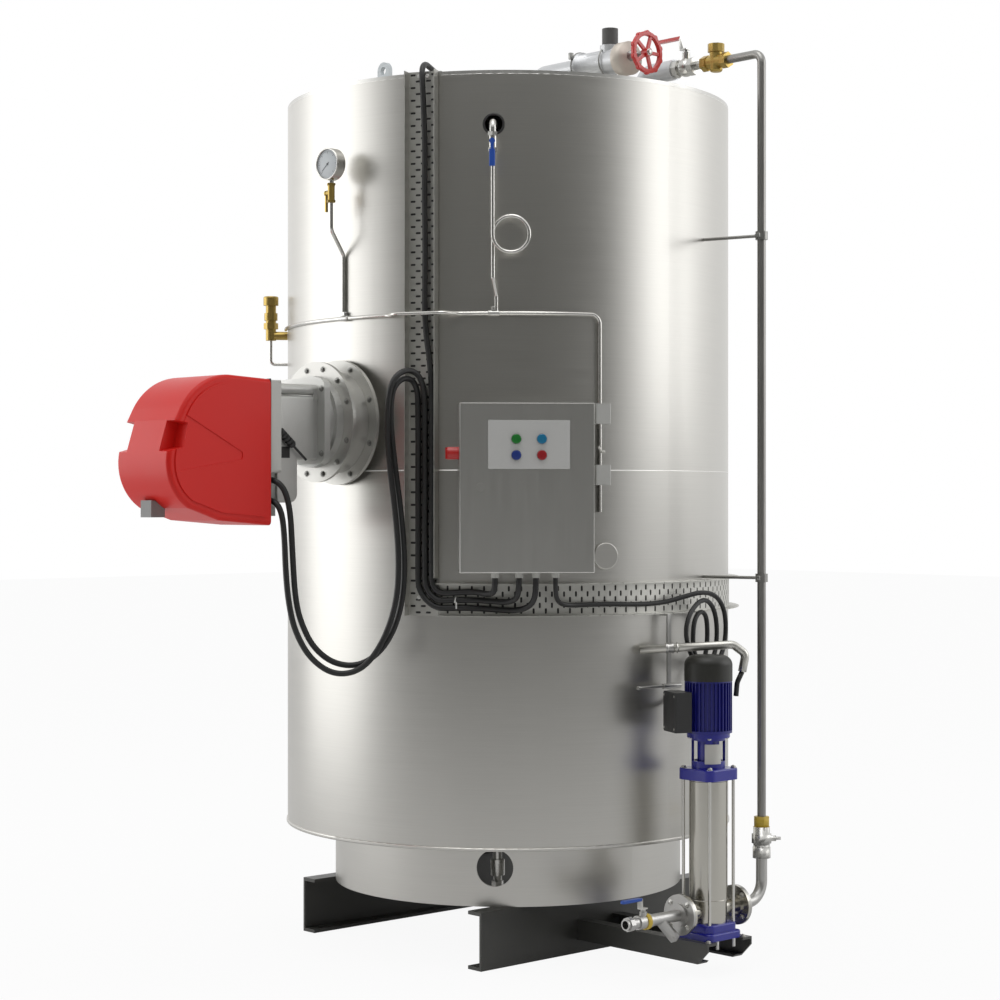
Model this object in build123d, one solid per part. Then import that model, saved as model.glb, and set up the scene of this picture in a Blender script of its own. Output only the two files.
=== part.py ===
from build123d import *
import math
import os

# Vertical steam boiler on two channel rails, with its burner, feed pump, control cabinet and
# small pipework. Millimetres. The origin is on the ground at the boiler's axis, +Z is up, the
# rails run along Y, the burner looks along -Y and the feed pump stands on the +X side.
# Azimuths are in degrees, counter-clockwise from +X.

os.makedirs("parts", exist_ok=True)

# Running clearances
SEAT = 0.3
PLAY = 0.5

# Boiler shell
JACKET_RADIUS = 740
JACKET_THICKNESS = 100
JACKET_BOTTOM = 377
JACKET_SEAM = 1539
JACKET_TOP = 2746
FLOOR_THICKNESS = 12
FLOOR_LIP = 4
ROOF_THICKNESS = 11
ROOF_RISE = 30
ROOF_FLAT_RADIUS = 200
ROOF_PEAK = JACKET_TOP + ROOF_RISE + ROOF_THICKNESS
SKIRT_RADIUS = 580
SKIRT_WALL = 8
SKIRT_HOLE_RADIUS = 57.5
SKIRT_HOLE_HEIGHT = 301
SKIRT_HOLE_AZIMUTH = -47

# Drain cock inside the skirt, below the middle of the hand hole
DRAIN_RADIUS = 14
DRAIN_INSET = 110
DRAIN_LENGTH = 145
DRAIN_BODY_RADIUS = 23
DRAIN_BODY = (65, 115)
DRAIN_CAP_RADIUS = 19
DRAIN_CAP_HEIGHT = 24

# Base rails
RAIL_HEIGHT = 180
RAIL_FLANGE = 60
RAIL_WEB = 8
RAIL_LEG = 11
RAIL_SPREAD = 444
RAIL_HALF_LENGTH = 526
ANCHOR_HOLE_RADIUS = 9
ANCHOR_INSET = 36
ANCHOR_SPACING = 960

# Pump rails, two small channels bolted to the side of the right base rail
PUMP_RAIL_HEIGHT = 65
PUMP_RAIL_FLANGE = 42
PUMP_RAIL_WEB = 5.5
PUMP_RAIL_LEG = 7.5
PUMP_RAIL_TOP = 108
PUMP_RAIL_LENGTH = 558
PUMP_RAIL_HALF_SPREAD = 101
PUMP_RAIL_CUT = 41

# Roof fittings
LUG_WIDTH = 56
LUG_THICKNESS = 15
LUG_RISE = 106
LUG_OFFSET = 540
LUG_EYE_RADIUS = 13
FLUE_RADIUS = 125
FLUE_WALL = 4
FLUE_HEIGHT = 96
FLUE_X = -250
FLUE_FLANGE = 30
FLUE_FLANGE_THICKNESS = 8

# Cable trays of perforated sheet
TRAY_AZIMUTH = -63.4
TRAY_WIDTH = 100
TRAY_DEPTH = 35
TRAY_SHEET = 2.5
TRAY_BOTTOM = 1094
TRAY_OVER_ROOF = 14
TRAY_END_AZIMUTH = 60
TRAY_TOP = JACKET_TOP + TRAY_OVER_ROOF
TRAY_HALF_ANGLE = math.degrees(math.asin((TRAY_WIDTH / 2 + SEAT) / (JACKET_RADIUS + SEAT)))

# Control cabinet
CABINET_AZIMUTH = -39.4
CABINET_WIDTH = 400
CABINET_HEIGHT = 504
CABINET_BOTTOM = 1232
CABINET_BACK = JACKET_RADIUS + 12
CABINET_DEPTH = 148
CABINET_FRONT = CABINET_BACK + CABINET_DEPTH
CABINET_TOP = CABINET_BOTTOM + CABINET_HEIGHT
CABINET_WALL = 3
BACK_RAIL_WIDTH = 60
BACK_RAIL_INSET = 20
DOOR_THICKNESS = 20
DOOR_SHEET = 3
PANEL_WIDTH = 243
PANEL_HEIGHT = 145
PANEL_SHEET = 2
PANEL_SHIFT = 5.5
PANEL_DROP = 51
LAMP_RADIUS = 15
LAMP_LENGTH = 9
LAMP_EDGE = 3
LAMP_SPREAD = 38
LAMP_RISE = 24
LAMP_DROP = 80
LOCK_RADIUS = 12
LOCK_LENGTH = 8
LOCK_INSET = 62
LOCK_RISE = 254
SWITCH_RADIUS = 19
SWITCH_LENGTH = 34
SWITCH_INSET = 50
SWITCH_RISE = 356
SWITCH_GRIP = 12
SWITCH_GRIP_DEPTH = 6
GLAND_RADIUS = 14
GLAND_LENGTH = 18
GLAND_NUT = 6
GLAND_PLACES = (-90, -18, 33, 92)
GLAND_MOUTH = CABINET_BOTTOM - GLAND_LENGTH - SEAT
ROOF_GLAND_PLACE = 590
ROOF_GLAND_HEIGHT = 15

# Small steel tubing on the jacket and what hangs on it
TUBE_RADIUS = 6
TUBE_GAP = 0.7
TUBE_LINE = JACKET_RADIUS + TUBE_RADIUS + TUBE_GAP
TUBE_BEND = 30
RING_HEIGHT = 2016
RING_START = -125.5
RING_END = -20.8
RING_TAIL = 605
SWITCH_BOX_DEPTH = 45
SWITCH_BOX_WIDTH = 50
SWITCH_BOX_HEIGHT = 61
SWITCH_BOX_EDGE = 4
SWITCH_BOX_STAND = 28
SWITCH_BOX_AZIMUTH = -22
SWITCH_BOX_DROPS = (306, 492)
CAP_AZIMUTH = -19.2
CAP_HEIGHT = 1276
CAP_RADIUS = 41
CAP_DEPTH = 9
CAP_EDGE = 3

# Pressure gauge on its cock
GAUGE_AZIMUTH = -85.5
GAUGE_STAND = 72
GAUGE_HEIGHT = 2490
GAUGE_RADIUS = 50
GAUGE_DEPTH = 34
GAUGE_FRONT = 18
GAUGE_BEZEL = 4
GAUGE_DISH = 3
GAUGE_STEM_RADIUS = 8
COCK_DROP = 58
COCK_LENGTH = 60
COCK_RADIUS = 11
COCK_BONNET = 8
COCK_NUT = 7
COCK_LEVER_LENGTH = 58
COCK_LEVER_SHEET = 5
COCK_HUB_RADIUS = 9

# Syphon under its isolating valve
SYPHON_AZIMUTH = -46.3
SYPHON_DROP = 154
SYPHON_HOLE_RADIUS = 30
SYPHON_STAND = 50
SYPHON_ELBOW_RADIUS = 10.5
SYPHON_ELBOW_DROP = 32
SYPHON_VALVE_LENGTH = 60
SYPHON_VALVE_RADIUS = 12
SYPHON_BONNET = 20
SYPHON_LEVER_LENGTH = 76
SYPHON_LEVER_SHEET = 5
COIL_RADIUS = 55
COIL_DROP = 248
COIL_STEP = 14
COIL_CORNERS = 8

# Safety valve on the left of the jacket
VALVE_AZIMUTH = -127
VALVE_STAND = 56
VALVE_HEIGHT = 1996
VALVE_RISE = 131
VALVE_BRANCH_RADIUS = 14
VALVE_BODY_RADIUS = 17
VALVE_FOOT = 16
VALVE_CAP_RADIUS = 25
VALVE_CAP_HEIGHT = 30
VALVE_DRAIN_DROP = 96

# Burner, its axis level and its pieces placed outwards from the flange on the jacket
BURNER_AZIMUTH = -90
BURNER_X = 33
BURNER_HEIGHT = 1690
BURNER_STAND = 12
BLAST_TUBE_RADIUS = 120
NECK_RADIUS = 150
BACK_FLANGE_RADIUS = 195
FRONT_FLANGE_RADIUS = 187
FLANGE_THICKNESS = 12
FLANGE_GAP = 72
PAD_RADIUS = 142
PAD_THICKNESS = 26
STEP_RADIUS = 128
STEP_THICKNESS = 19
SQUARE_HALF = 132
SQUARE_THICKNESS = 22
SQUARE_CORNER = 34
HOUSING_HALF_WIDTH = 95
HOUSING_LENGTH = 151
HOUSING_RISE = 74
HOUSING_DROP = 120
HOUSING_EDGE = 8
BAR_RADIUS = 16
BAR_RISE = 94
BAR_OFFSET = 82
CASING_LENGTH = 74
CASING_DROP = 250
CASING_EDGE = 28
BACKPLATE_THICKNESS = 37
BACKPLATE_DROP = 160
ENTRY_BOX_LENGTH = 57
ENTRY_BOX_WIDTH = 78
ENTRY_BOX_DROP = 290
ENTRY_BOX_PLACE = 7
COVER_HALF_WIDTH = 138
COVER_SHIFT = -21
COVER_RISE = 127
COVER_DROP = 318
COVER_LENGTH = 367
COVER_PANEL = 4
COVER_BORDER = 24
COVER_EDGE = 13
GRIP_BOTTOM = -104
GRIP_TOP = -18
GRIP_DEPTH = 52
GRIP_REACH = 58
GRIP_SLANT = 15
MARK_DEPTH = 2.5
LATCH_WIDTH = 55
LATCH_HEIGHT = 50
LATCH_PLACE = -25
LATCH_RISE = -268
LATCH_START = 290
LATCH_LENGTH = 48
BOOT_RADIUS = 12.5
BOOT_RIBS = 5
BOOT_RIB_DEPTH = 3
BOOT_LENGTH = 66
BOOT_TURN = 41
BOOT_DROP = 35
LEAD_RADIUS = 4
LEAD_LENGTH = 64

# Feed pump, upwards from its rails
PUMP_X = 914
PUMP_Y = -10
PUMP_FOOT = 150
FOOT_STEP = 22
FOOT_RISE = 47
FOOT_INSET = 9
FOOT_CORNER = 20
FOOT_EDGE = 5
PORT_RISE = 82
PORT_RADIUS = 21
PORT_REACH = 125
PORT_COLLAR_RADIUS = 35
PUMP_FLANGE_RADIUS = 62
PUMP_FLANGE_THICKNESS = 15
LOOSE_FLANGE_THICKNESS = 8
SLEEVE_RADIUS = 59
BASE_RADIUS = 57
BASE_LENGTH = 65
SLEEVE_LENGTH = 372
HEAD_WIDTH = 140
HEAD_THICKNESS = 35
HEAD_CORNER = 25
TIE_ROD_RADIUS = 5
TIE_ROD_PLACE = 54
LANTERN_RADIUS = 52
LANTERN_BORE = 44
LANTERN_RISE = 108
LANTERN_FLANGE = 14
LANTERN_FLANGE_RADIUS = 66
LANTERN_WINDOW = 28
GUARD_RADIUS = 34
GUARD_BORE = 30
MOTOR_RADIUS = 73
MOTOR_CORE = 65
MOTOR_LENGTH = 159
MOTOR_FINS = 36
FAN_COVER_RADIUS = 74
FAN_COVER_HEIGHT = 78
FAN_COVER_EDGE = 30
FAN_GUARD_RADIUS = 34
FAN_GUARD_DEPTH = 3
TERMINAL_TURN = -25
TERMINAL_WIDTH = 100
TERMINAL_DEPTH = 56
TERMINAL_RISE = 5
TERMINAL_HEIGHT = 122
TERMINAL_EDGE = 6
TERMINAL_GLAND_RADIUS = 11
TERMINAL_GLAND_LENGTH = 16
TERMINAL_GLAND_RISE = 60

# Suction line, along -Y from the pump's port
SUCTION_LENGTH = 226
SUCTION_RADIUS = 21
SUCTION_BORE = 12.5
SUCTION_BORE_LENGTH = 60
SUCTION_MOUTH_RADIUS = 17
SUCTION_MOUTH = 50
SUCTION_VALVE = 106
SUCTION_STEM = 76
SUCTION_STEM_RISE = 38
SUCTION_STEM_RADIUS = 8
SUCTION_COLLAR_RADIUS = 12
SUCTION_LEVER = 92
STRAINER_PLACE = 80
STRAINER_REACH = 62
STRAINER_RADIUS = 17
STRAINER_CAP_RADIUS = 19

# Discharge line, up from the pump's other port, and the riser above it
RISER_Y = 240
DISCHARGE_RADIUS = 17.6
DISCHARGE_BEND = 62
DISCHARGE_VALVE_RISE = 132
DISCHARGE_VALVE_LENGTH = 98
DISCHARGE_VALVE_RADIUS = 26
DISCHARGE_SKIRT_RADIUS = 28
DISCHARGE_SKIRT = 34
DISCHARGE_NUT_RADIUS = 31
DISCHARGE_NUT = 30
VENT_AZIMUTH = 47
VENT_LENGTH = 60
VENT_RADIUS = 9
VENT_TIP_RADIUS = 5
UNION_RADIUS = 24
UNION_LENGTH = 32
RISER_RADIUS = 13.5
RISER_BEND = 30
FEED_RISE = 109
CLAMP_HEIGHTS = (1203, 2280)
CLAMP_HEIGHT = 26
CLAMP_WALL = 6
CLAMP_BAR_RADIUS = 5

# Feed line over the roof, inwards from the check valve
CHECK_VALVE_X = 723
CHECK_VALVE_LENGTH = 106
CHECK_VALVE_RISE = 57
CHECK_VALVE_RADIUS = 21
CHECK_CAP_RADIUS = 27
CHECK_CAP_HEIGHT = 26
CHECK_BOWL = 33
NUT_RADIUS = 26
NUT_LENGTH = 22
FEED_VALVE_X = 593
FEED_VALVE_LENGTH = 90
FEED_VALVE_RADIUS = 24
FEED_BALL_RADIUS = 30
FEED_NIPPLE_RADIUS = 14
FEED_STEM_RISE = 57
FEED_STEM_RADIUS = 8
FEED_LEVER = 118
FEED_LEVER_SHEET = 5
FEED_LEVER_WIDTH = 18
FEED_LEVER_STEP = 42
FEED_TURN = 405
FEED_PIPE_RADIUS = 33
FEED_PIPE_BEND = 45
ROOF_FOOT = 14
ROOF_FOOT_FLANGE = 20

# Steam line over the roof
STEAM_Y = 47
STEAM_RISE = 83
STEAM_TURN = 100
STEAM_PIPE_RADIUS = 30
STEAM_PIPE_BEND = 40
STOP_VALVE_START = 300
STOP_VALVE_LENGTH = 186
STOP_VALVE_RADIUS = 42
STOP_CLAMP_RADIUS = 48
STOP_CLAMP = 16
STOP_HEAD_LENGTH = 41
STOP_HEAD_RADIUS = 54
STUB_X = 436
STUB_RADIUS = 26
STUB_BORE = 21
STUB_RISE = 107
STUB_COLLAR_RADIUS = 33
STUB_COLLAR_RISE = 52
SPINDLE_RISE = 7
SPINDLE_RADIUS = 9
SPINDLE_NUT_RADIUS = 18
SPINDLE_NUT = 22
WHEEL_X = 600
WHEEL_RADIUS = 60
WHEEL_RIM = 7
WHEEL_SPOKES = 5
WHEEL_LOBES = 10
WHEEL_LOBE_RADIUS = 10
HUB_RADIUS = 14
HUB_LENGTH = 24
WHEEL_EDGE = 3
SPOKE_WIDTH = 10
SPOKE_THICKNESS = 9

# Overflow pipe hooked over the pump, its bracket and the sampling cock
OVERFLOW_RADIUS = 13
OVERFLOW_BEND = 22
OVERFLOW_HOSE_RADIUS = 8
OVERFLOW_ROUTE = ((742, -133, 985), (938, 78, 1001), (964, 106, 972), (957, 98, 918))
HOSE_ROUTE = ((957, 98, 918), (946, 87, 884), (944, 84, 842))
STRAP_AZIMUTH = -3
STRAP_WIDTH = 16
STRAP_SHEET = 5
STRAP_PLACE = 776
STRAP_FOOT = 30
STRAP_LENGTH = 232
SADDLE_RADIUS = 9
SADDLE_PLACE = 0.319
CLIP_WALL = 4
CLIP_WIDTH = 5
CLIP_SPREAD = 9
SAMPLER_DROP = 222
SAMPLER_RADIUS = 8
SAMPLER_LENGTH = 73
SAMPLER_REACH = 38
PROBE_RADIUS = 4.5
PROBE_LENGTH = 101
PROBE_TIP_RADIUS = 6

# Cables
CABLE_RADIUS = 9
PUMP_CABLE_RADIUS = 7.5
ARC_SHARE = 0.45

# Each corner of a cable is (radius, azimuth, height) about the boiler's axis
BURNER_CABLE_INNER = (
    (1093.4, -83.78, 1508), (1096.4, -82.46, 1508), (1076, -81.3, 1480), (1064, -80.7, 1410),
    (1062, -80.4, 1290), (1056, -80.1, 1150), (1042, -79.4, 1075), (1013, -78.1, 1002),
    (966, -75.6, 953), (910, -72.1, 947), (862, -68.5, 1000), (834, -65.9, 1103),
    (826, -65.1, 1236), (832, -65.7, 1396), (846, -67.0, 1569), (854, -67.7, 1705),
    (850, -67.2, 1786), (823, -66.0, 1818), (784, -64.8, 1817), (758, -64.3, 1784),
    (756, -64.3, 1725), (757, -64.2, 1625), (756, -64.3, 1470), (757, -64.2, 1330),
    (756, -64.3, 1230), (757, -64.1, 1169), (758, -60.4, 1119), (757, -56.3, 1119),
    (757, -51.7, 1120), (757, -47.4, 1117), (762, -43.5, 1113), (778, -40.0, 1115),
    (803, -37.9, 1131), (826.7, -37.11, 1163), (826.7, -37.11, GLAND_MOUTH),
)
BURNER_CABLE_OUTER = (
    (1093.4, -83.78, 1446), (1095.8, -82.6, 1446), (1085, -81.6, 1414), (1081, -81.2, 1345),
    (1080, -81.0, 1240), (1077, -80.6, 1150), (1066, -79.8, 1058), (1034, -77.9, 971),
    (981, -74.8, 920), (925, -70.9, 938), (881, -68.0, 1025), (854, -66.1, 1140),
    (848, -65.8, 1266), (855, -66.4, 1409), (870, -67.4, 1569), (879, -67.5, 1715),
    (874, -66.8, 1803), (843, -65.3, 1840), (797, -63.7, 1841), (765, -62.7, 1804),
    (757, -62.5, 1745), (756, -62.6, 1650), (757, -62.5, 1500), (756, -62.6, 1365),
    (757, -62.5, 1252), (757, -62.5, 1179), (758, -59.7, 1141), (757, -56.5, 1142),
    (757, -52.9, 1144), (757, -49.4, 1143), (760, -46.2, 1140), (775, -43.1, 1138),
    (800, -41.3, 1147), (826.2, -40.65, 1174), (826.2, -40.65, GLAND_MOUTH),
)
ROOF_CABLE = (
    (606.3, -63.4, 2774), (640, -63.4, 2774), (684, -63.3, 2780), (730, -63.3, 2787),
    (762, -63.1, 2768), (770, -62.8, 2726), (764, -62.6, 2650), (757, -62.5, 2520),
    (758, -62.6, 2380), (757, -62.4, 2200), (758, -62.6, 2040), (757, -62.2, 1945),
    (758, -61.2, 1865), (757, -60.8, 1760), (756, -60.9, 1620), (757, -60.8, 1460),
    (756, -60.9, 1340), (757, -60.8, 1247), (757, -60.8, 1187), (758, -59.0, 1164),
    (757, -56.2, 1165), (758, -53.1, 1168), (768, -50.1, 1169), (790, -47.8, 1164),
    (817, -46.2, 1165), (830.9, -45.62, 1184), (830.9, -45.62, GLAND_MOUTH),
)
PUMP_CABLE = (
    (831.1, -33.045, GLAND_MOUTH), (831.1, -33.045, 1178), (812, -32.5, 1147), (783, -30.8, 1131),
    (761, -27.7, 1127), (756, -23.5, 1129), (757, -18.0, 1129), (756, -12.0, 1126),
    (757, -7.0, 1126), (764, -2.6, 1131), (784, 1.7, 1146), (805, 5.9, 1160),
    (817, 10.2, 1150), (820, 13.6, 1110), (819, 15.0, 1050), (820, 14.0, 985),
    (818, 11.3, 932), (820, 7.3, 910), (819, 3.4, 927), (820, 0.5, 976),
    (819, -0.8, 1038), (818, 0.6, 1094), (812, 4.2, 1130), (804, 8.1, 1135),
    (800, 11.5, 1108), (801, 13.0, 1055), (800, 12.8, 983), (801, 11.0, 944),
    (800, 8.05, 929), (801, 5.1, 941), (800, 3.3, 983), (799, 3.6, 1058),
    (796, 5.2, 1090), (791, 7.6, 1098), (786, 9.9, 1082), (782, 11.0, 1040),
    (782, 10.7, 980), (781, 9.0, 920), (780, 6.2, 868), (779, 3.2, 838),
    (774, 0.4, 817), (767.7, -2.46, 804), (787.4, -4.23, 800), (815.6, -4.978, 800),
)


def direction(azimuth):
    angle = math.radians(azimuth)
    return Vector(math.cos(angle), math.sin(angle), 0)


def spot(radius, azimuth, height):
    return direction(azimuth) * radius + Vector(0, 0, height)


def station(azimuth):
    """Local frame on the boiler's axis: +X points outwards at the azimuth, +Z stays up."""
    return Location((0, 0, 0), (0, 0, azimuth))


def rod(start, end, radius, bore=0):
    start = Vector(*start)
    end = Vector(*end)
    plane = Plane(origin=start, z_dir=end - start)
    length = (end - start).length
    solid = Solid.make_cylinder(radius, length, plane)
    if bore:
        solid = solid - Solid.make_cylinder(bore, length, plane)
    return solid


def hexagon(start, end, radius, sides=6):
    """Nut between two points, its radius measured to the corners."""
    start = Vector(*start)
    end = Vector(*end)
    plane = Plane(origin=start, z_dir=end - start)
    return extrude(plane * RegularPolygon(radius, sides), amount=(end - start).length)


def bent(points, radius, bend):
    """Round bar or pipe along straight runs with filleted corners."""
    path = FilletPolyline(*[Vector(*point) for point in points], radius=bend)
    return sweep((path ^ 0) * Circle(radius), path=path)


def block(x, y, z, edge=0):
    """Box between the limits in x, y and z, with its upright edges rounded."""
    size = (x[1] - x[0], y[1] - y[0], z[1] - z[0])
    centre = ((x[0] + x[1]) / 2, (y[0] + y[1]) / 2, (z[0] + z[1]) / 2)
    solid = Pos(*centre) * Box(*size)
    if edge:
        solid = fillet(solid.edges().filter_by(Axis.Z), edge)
    return solid


def ring(inner, outer, bottom, top):
    profile = Pos((inner + outer) / 2, (bottom + top) / 2) * Rectangle(outer - inner, top - bottom)
    return revolve(Plane.XZ * profile, axis=Axis.Z)


def disc(radius, bottom, top):
    return Pos(0, 0, bottom) * extrude(Circle(radius), amount=top - bottom)


def turned(points):
    """Solid of revolution about Z from (radius, height) points."""
    return revolve(Plane.XZ * make_face(Polyline(*points, close=True)), axis=Axis.Z)


def save(name, *solids):
    flat = []
    for solid in solids:
        flat.extend(solid.solids())
    shape = flat[0] if len(flat) == 1 else Compound(children=flat)
    export_step(shape, f"parts/{name}.step")


def channel(height, flange, web, leg, length):
    """Channel along X from the origin, its web's outer face at y=0 and its legs towards +Y."""
    outer = Pos(flange / 2, height / 2) * Rectangle(flange, height)
    inner = Pos(web + flange / 2, height / 2) * Rectangle(flange, height - 2 * leg)
    profile = Plane.YZ * (outer - inner)
    return extrude(profile, amount=length)


def base_rails():
    rail = channel(RAIL_HEIGHT, RAIL_FLANGE, RAIL_WEB, RAIL_LEG, 2 * RAIL_HALF_LENGTH)
    for place in (-ANCHOR_SPACING / 2, ANCHOR_SPACING / 2):
        hole = Cylinder(ANCHOR_HOLE_RADIUS, 2 * RAIL_LEG)
        rail = rail - Pos(RAIL_HALF_LENGTH + place, ANCHOR_INSET, RAIL_LEG / 2) * hole
    right = Location((RAIL_SPREAD, -RAIL_HALF_LENGTH, 0), (0, 0, 90)) * rail
    left = right.mirror(Plane.YZ)
    save("base_rails", left, right)


def pump_rails():
    length = PUMP_RAIL_LENGTH
    bottom = PUMP_RAIL_TOP - PUMP_RAIL_HEIGHT
    bar = channel(PUMP_RAIL_HEIGHT, PUMP_RAIL_FLANGE, PUMP_RAIL_WEB, PUMP_RAIL_LEG, length)
    corner = Polyline((length - PUMP_RAIL_CUT, 0), (length, 0), (length, PUMP_RAIL_CUT), close=True)
    bar = bar - extrude(Plane.XZ * make_face(corner), amount=PUMP_RAIL_FLANGE, both=True)
    near = Pos(RAIL_SPREAD, -PUMP_RAIL_HALF_SPREAD, bottom) * bar
    far = near.mirror(Plane.XZ)
    save("pump_rails", Pos(0, PUMP_Y, 0) * near, Pos(0, PUMP_Y, 0) * far)


def boiler_shell():
    skirt = ring(SKIRT_RADIUS - SKIRT_WALL, SKIRT_RADIUS, RAIL_HEIGHT, JACKET_BOTTOM)
    hand_hole = rod(
        spot(SKIRT_RADIUS - DRAIN_INSET / 2, SKIRT_HOLE_AZIMUTH, SKIRT_HOLE_HEIGHT),
        spot(SKIRT_RADIUS + DRAIN_INSET / 2, SKIRT_HOLE_AZIMUTH, SKIRT_HOLE_HEIGHT),
        SKIRT_HOLE_RADIUS,
    )
    save("base_skirt", skirt - hand_hole)

    floor_top = JACKET_BOTTOM + FLOOR_THICKNESS
    floor = disc(JACKET_RADIUS + FLOOR_LIP, JACKET_BOTTOM, floor_top)
    save("jacket_floor", fillet(floor.edges(), FLOOR_LIP))

    inner = JACKET_RADIUS - JACKET_THICKNESS
    lower = ring(inner, JACKET_RADIUS, floor_top, JACKET_SEAM)
    upper = ring(inner, JACKET_RADIUS, JACKET_SEAM, JACKET_TOP)
    mouth = rod(
        (BURNER_X, 0, BURNER_HEIGHT),
        (BURNER_X, -JACKET_RADIUS - BURNER_STAND, BURNER_HEIGHT),
        BLAST_TUBE_RADIUS,
    )
    height = JACKET_TOP - SYPHON_DROP
    syphon_hole = rod(
        spot(inner / 2, SYPHON_AZIMUTH, height),
        spot(JACKET_RADIUS + SYPHON_STAND, SYPHON_AZIMUTH, height),
        SYPHON_HOLE_RADIUS,
    )
    save("lower_jacket", lower - mouth)
    save("upper_jacket", upper - mouth - syphon_hole)

    under = [(0, JACKET_TOP + ROOF_RISE), (ROOF_FLAT_RADIUS, JACKET_TOP + ROOF_RISE)]
    under += [(inner, JACKET_TOP), (JACKET_RADIUS, JACKET_TOP)]
    over = [(radius, height + ROOF_THICKNESS) for radius, height in reversed(under)]
    flue = Pos(FLUE_X, 0, 0) * disc(FLUE_RADIUS - FLUE_WALL, JACKET_TOP, ROOF_PEAK)
    save("roof", turned(under + over) - flue)


def roof_level(radius):
    """Height of the roof's outer face at a radius."""
    inner = JACKET_RADIUS - JACKET_THICKNESS
    if radius <= ROOF_FLAT_RADIUS:
        rise = ROOF_RISE
    elif radius >= inner:
        rise = 0
    else:
        rise = ROOF_RISE * (inner - radius) / (inner - ROOF_FLAT_RADIUS)
    return JACKET_TOP + ROOF_THICKNESS + rise


def roof_cutter():
    """Everything under the roof's outer face, a seat's clearance above it."""
    inner = JACKET_RADIUS - JACKET_THICKNESS
    top = JACKET_TOP + ROOF_THICKNESS + SEAT
    low = JACKET_TOP - LUG_OFFSET / 4
    points = [(0, low), (JACKET_RADIUS, low), (JACKET_RADIUS, top), (inner, top)]
    points += [(ROOF_FLAT_RADIUS, top + ROOF_RISE), (0, top + ROOF_RISE)]
    return turned(points)


def roof_fittings():
    under = roof_cutter()
    half = LUG_WIDTH / 2
    centre = JACKET_TOP + LUG_RISE - half
    lugs = []
    for side in (-1, 1):
        plate = block((-half, half), (-LUG_THICKNESS / 2, LUG_THICKNESS / 2), (JACKET_TOP, centre))
        crown = rod((0, -LUG_THICKNESS / 2, centre), (0, LUG_THICKNESS / 2, centre), half)
        eye = rod((0, -LUG_THICKNESS, centre), (0, LUG_THICKNESS, centre), LUG_EYE_RADIUS)
        lugs.append(Pos(0, side * LUG_OFFSET, 0) * (plate + crown - eye) - under)
    save("lifting_lugs", *lugs)

    bore = FLUE_RADIUS - FLUE_WALL
    collar = ring(bore, FLUE_RADIUS, JACKET_TOP, JACKET_TOP + ROOF_RISE + FLUE_HEIGHT)
    foot = ring(bore, FLUE_RADIUS + FLUE_FLANGE, JACKET_TOP, ROOF_PEAK + FLUE_FLANGE_THICKNESS)
    save("flue_collar", Pos(FLUE_X, 0, 0) * (collar + foot) - under)


def drain():
    centre = spot(SKIRT_RADIUS - DRAIN_INSET, SKIRT_HOLE_AZIMUTH, JACKET_BOTTOM)
    low = centre - Vector(0, 0, DRAIN_LENGTH)
    body = (centre - Vector(0, 0, DRAIN_BODY[0]), centre - Vector(0, 0, DRAIN_BODY[1]))
    pipe = rod(low, centre, DRAIN_RADIUS) + rod(*body, DRAIN_BODY_RADIUS)
    half = Vector(0, 0, DRAIN_CAP_HEIGHT / 2)
    cap = hexagon(low - half, low + half, DRAIN_CAP_RADIUS)
    save("drain_pipe", pipe + cap)


def vertical_tray():
    back = JACKET_RADIUS + SEAT
    front = back + TRAY_DEPTH
    half = TRAY_WIDTH / 2
    tray = block((back, front), (-half, half), (TRAY_BOTTOM, TRAY_TOP))
    inside = (-half + TRAY_SHEET, half - TRAY_SHEET)
    tray = tray - block((back + TRAY_SHEET, front), inside, (TRAY_BOTTOM, TRAY_TOP))
    # the right flange stops where the curved tray opens into this one
    mouth = (TRAY_BOTTOM, TRAY_BOTTOM + TRAY_WIDTH)
    tray = tray - block((back + TRAY_SHEET, front), (half - TRAY_SHEET, half), mouth)
    save("vertical_tray", station(TRAY_AZIMUTH) * tray)


def horizontal_tray():
    inner = JACKET_RADIUS + SEAT
    outer = inner + TRAY_DEPTH
    middle = TRAY_BOTTOM + TRAY_WIDTH / 2
    shell = Pos((inner + outer) / 2, middle) * Rectangle(TRAY_DEPTH, TRAY_WIDTH)
    hollow = Rectangle(TRAY_DEPTH, TRAY_WIDTH - 2 * TRAY_SHEET)
    hollow = Pos((inner + outer) / 2 + TRAY_SHEET, middle) * hollow
    start = TRAY_AZIMUTH + TRAY_HALF_ANGLE
    tray = revolve(Plane.XZ * (shell - hollow), axis=Axis.Z, revolution_arc=TRAY_END_AZIMUTH - start)
    beside = block((0, 2 * outer), (0, TRAY_WIDTH / 2 + SEAT), (TRAY_BOTTOM, TRAY_BOTTOM + TRAY_WIDTH))
    save("horizontal_tray", Rot(0, 0, start) * tray - station(TRAY_AZIMUTH) * beside)


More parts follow.
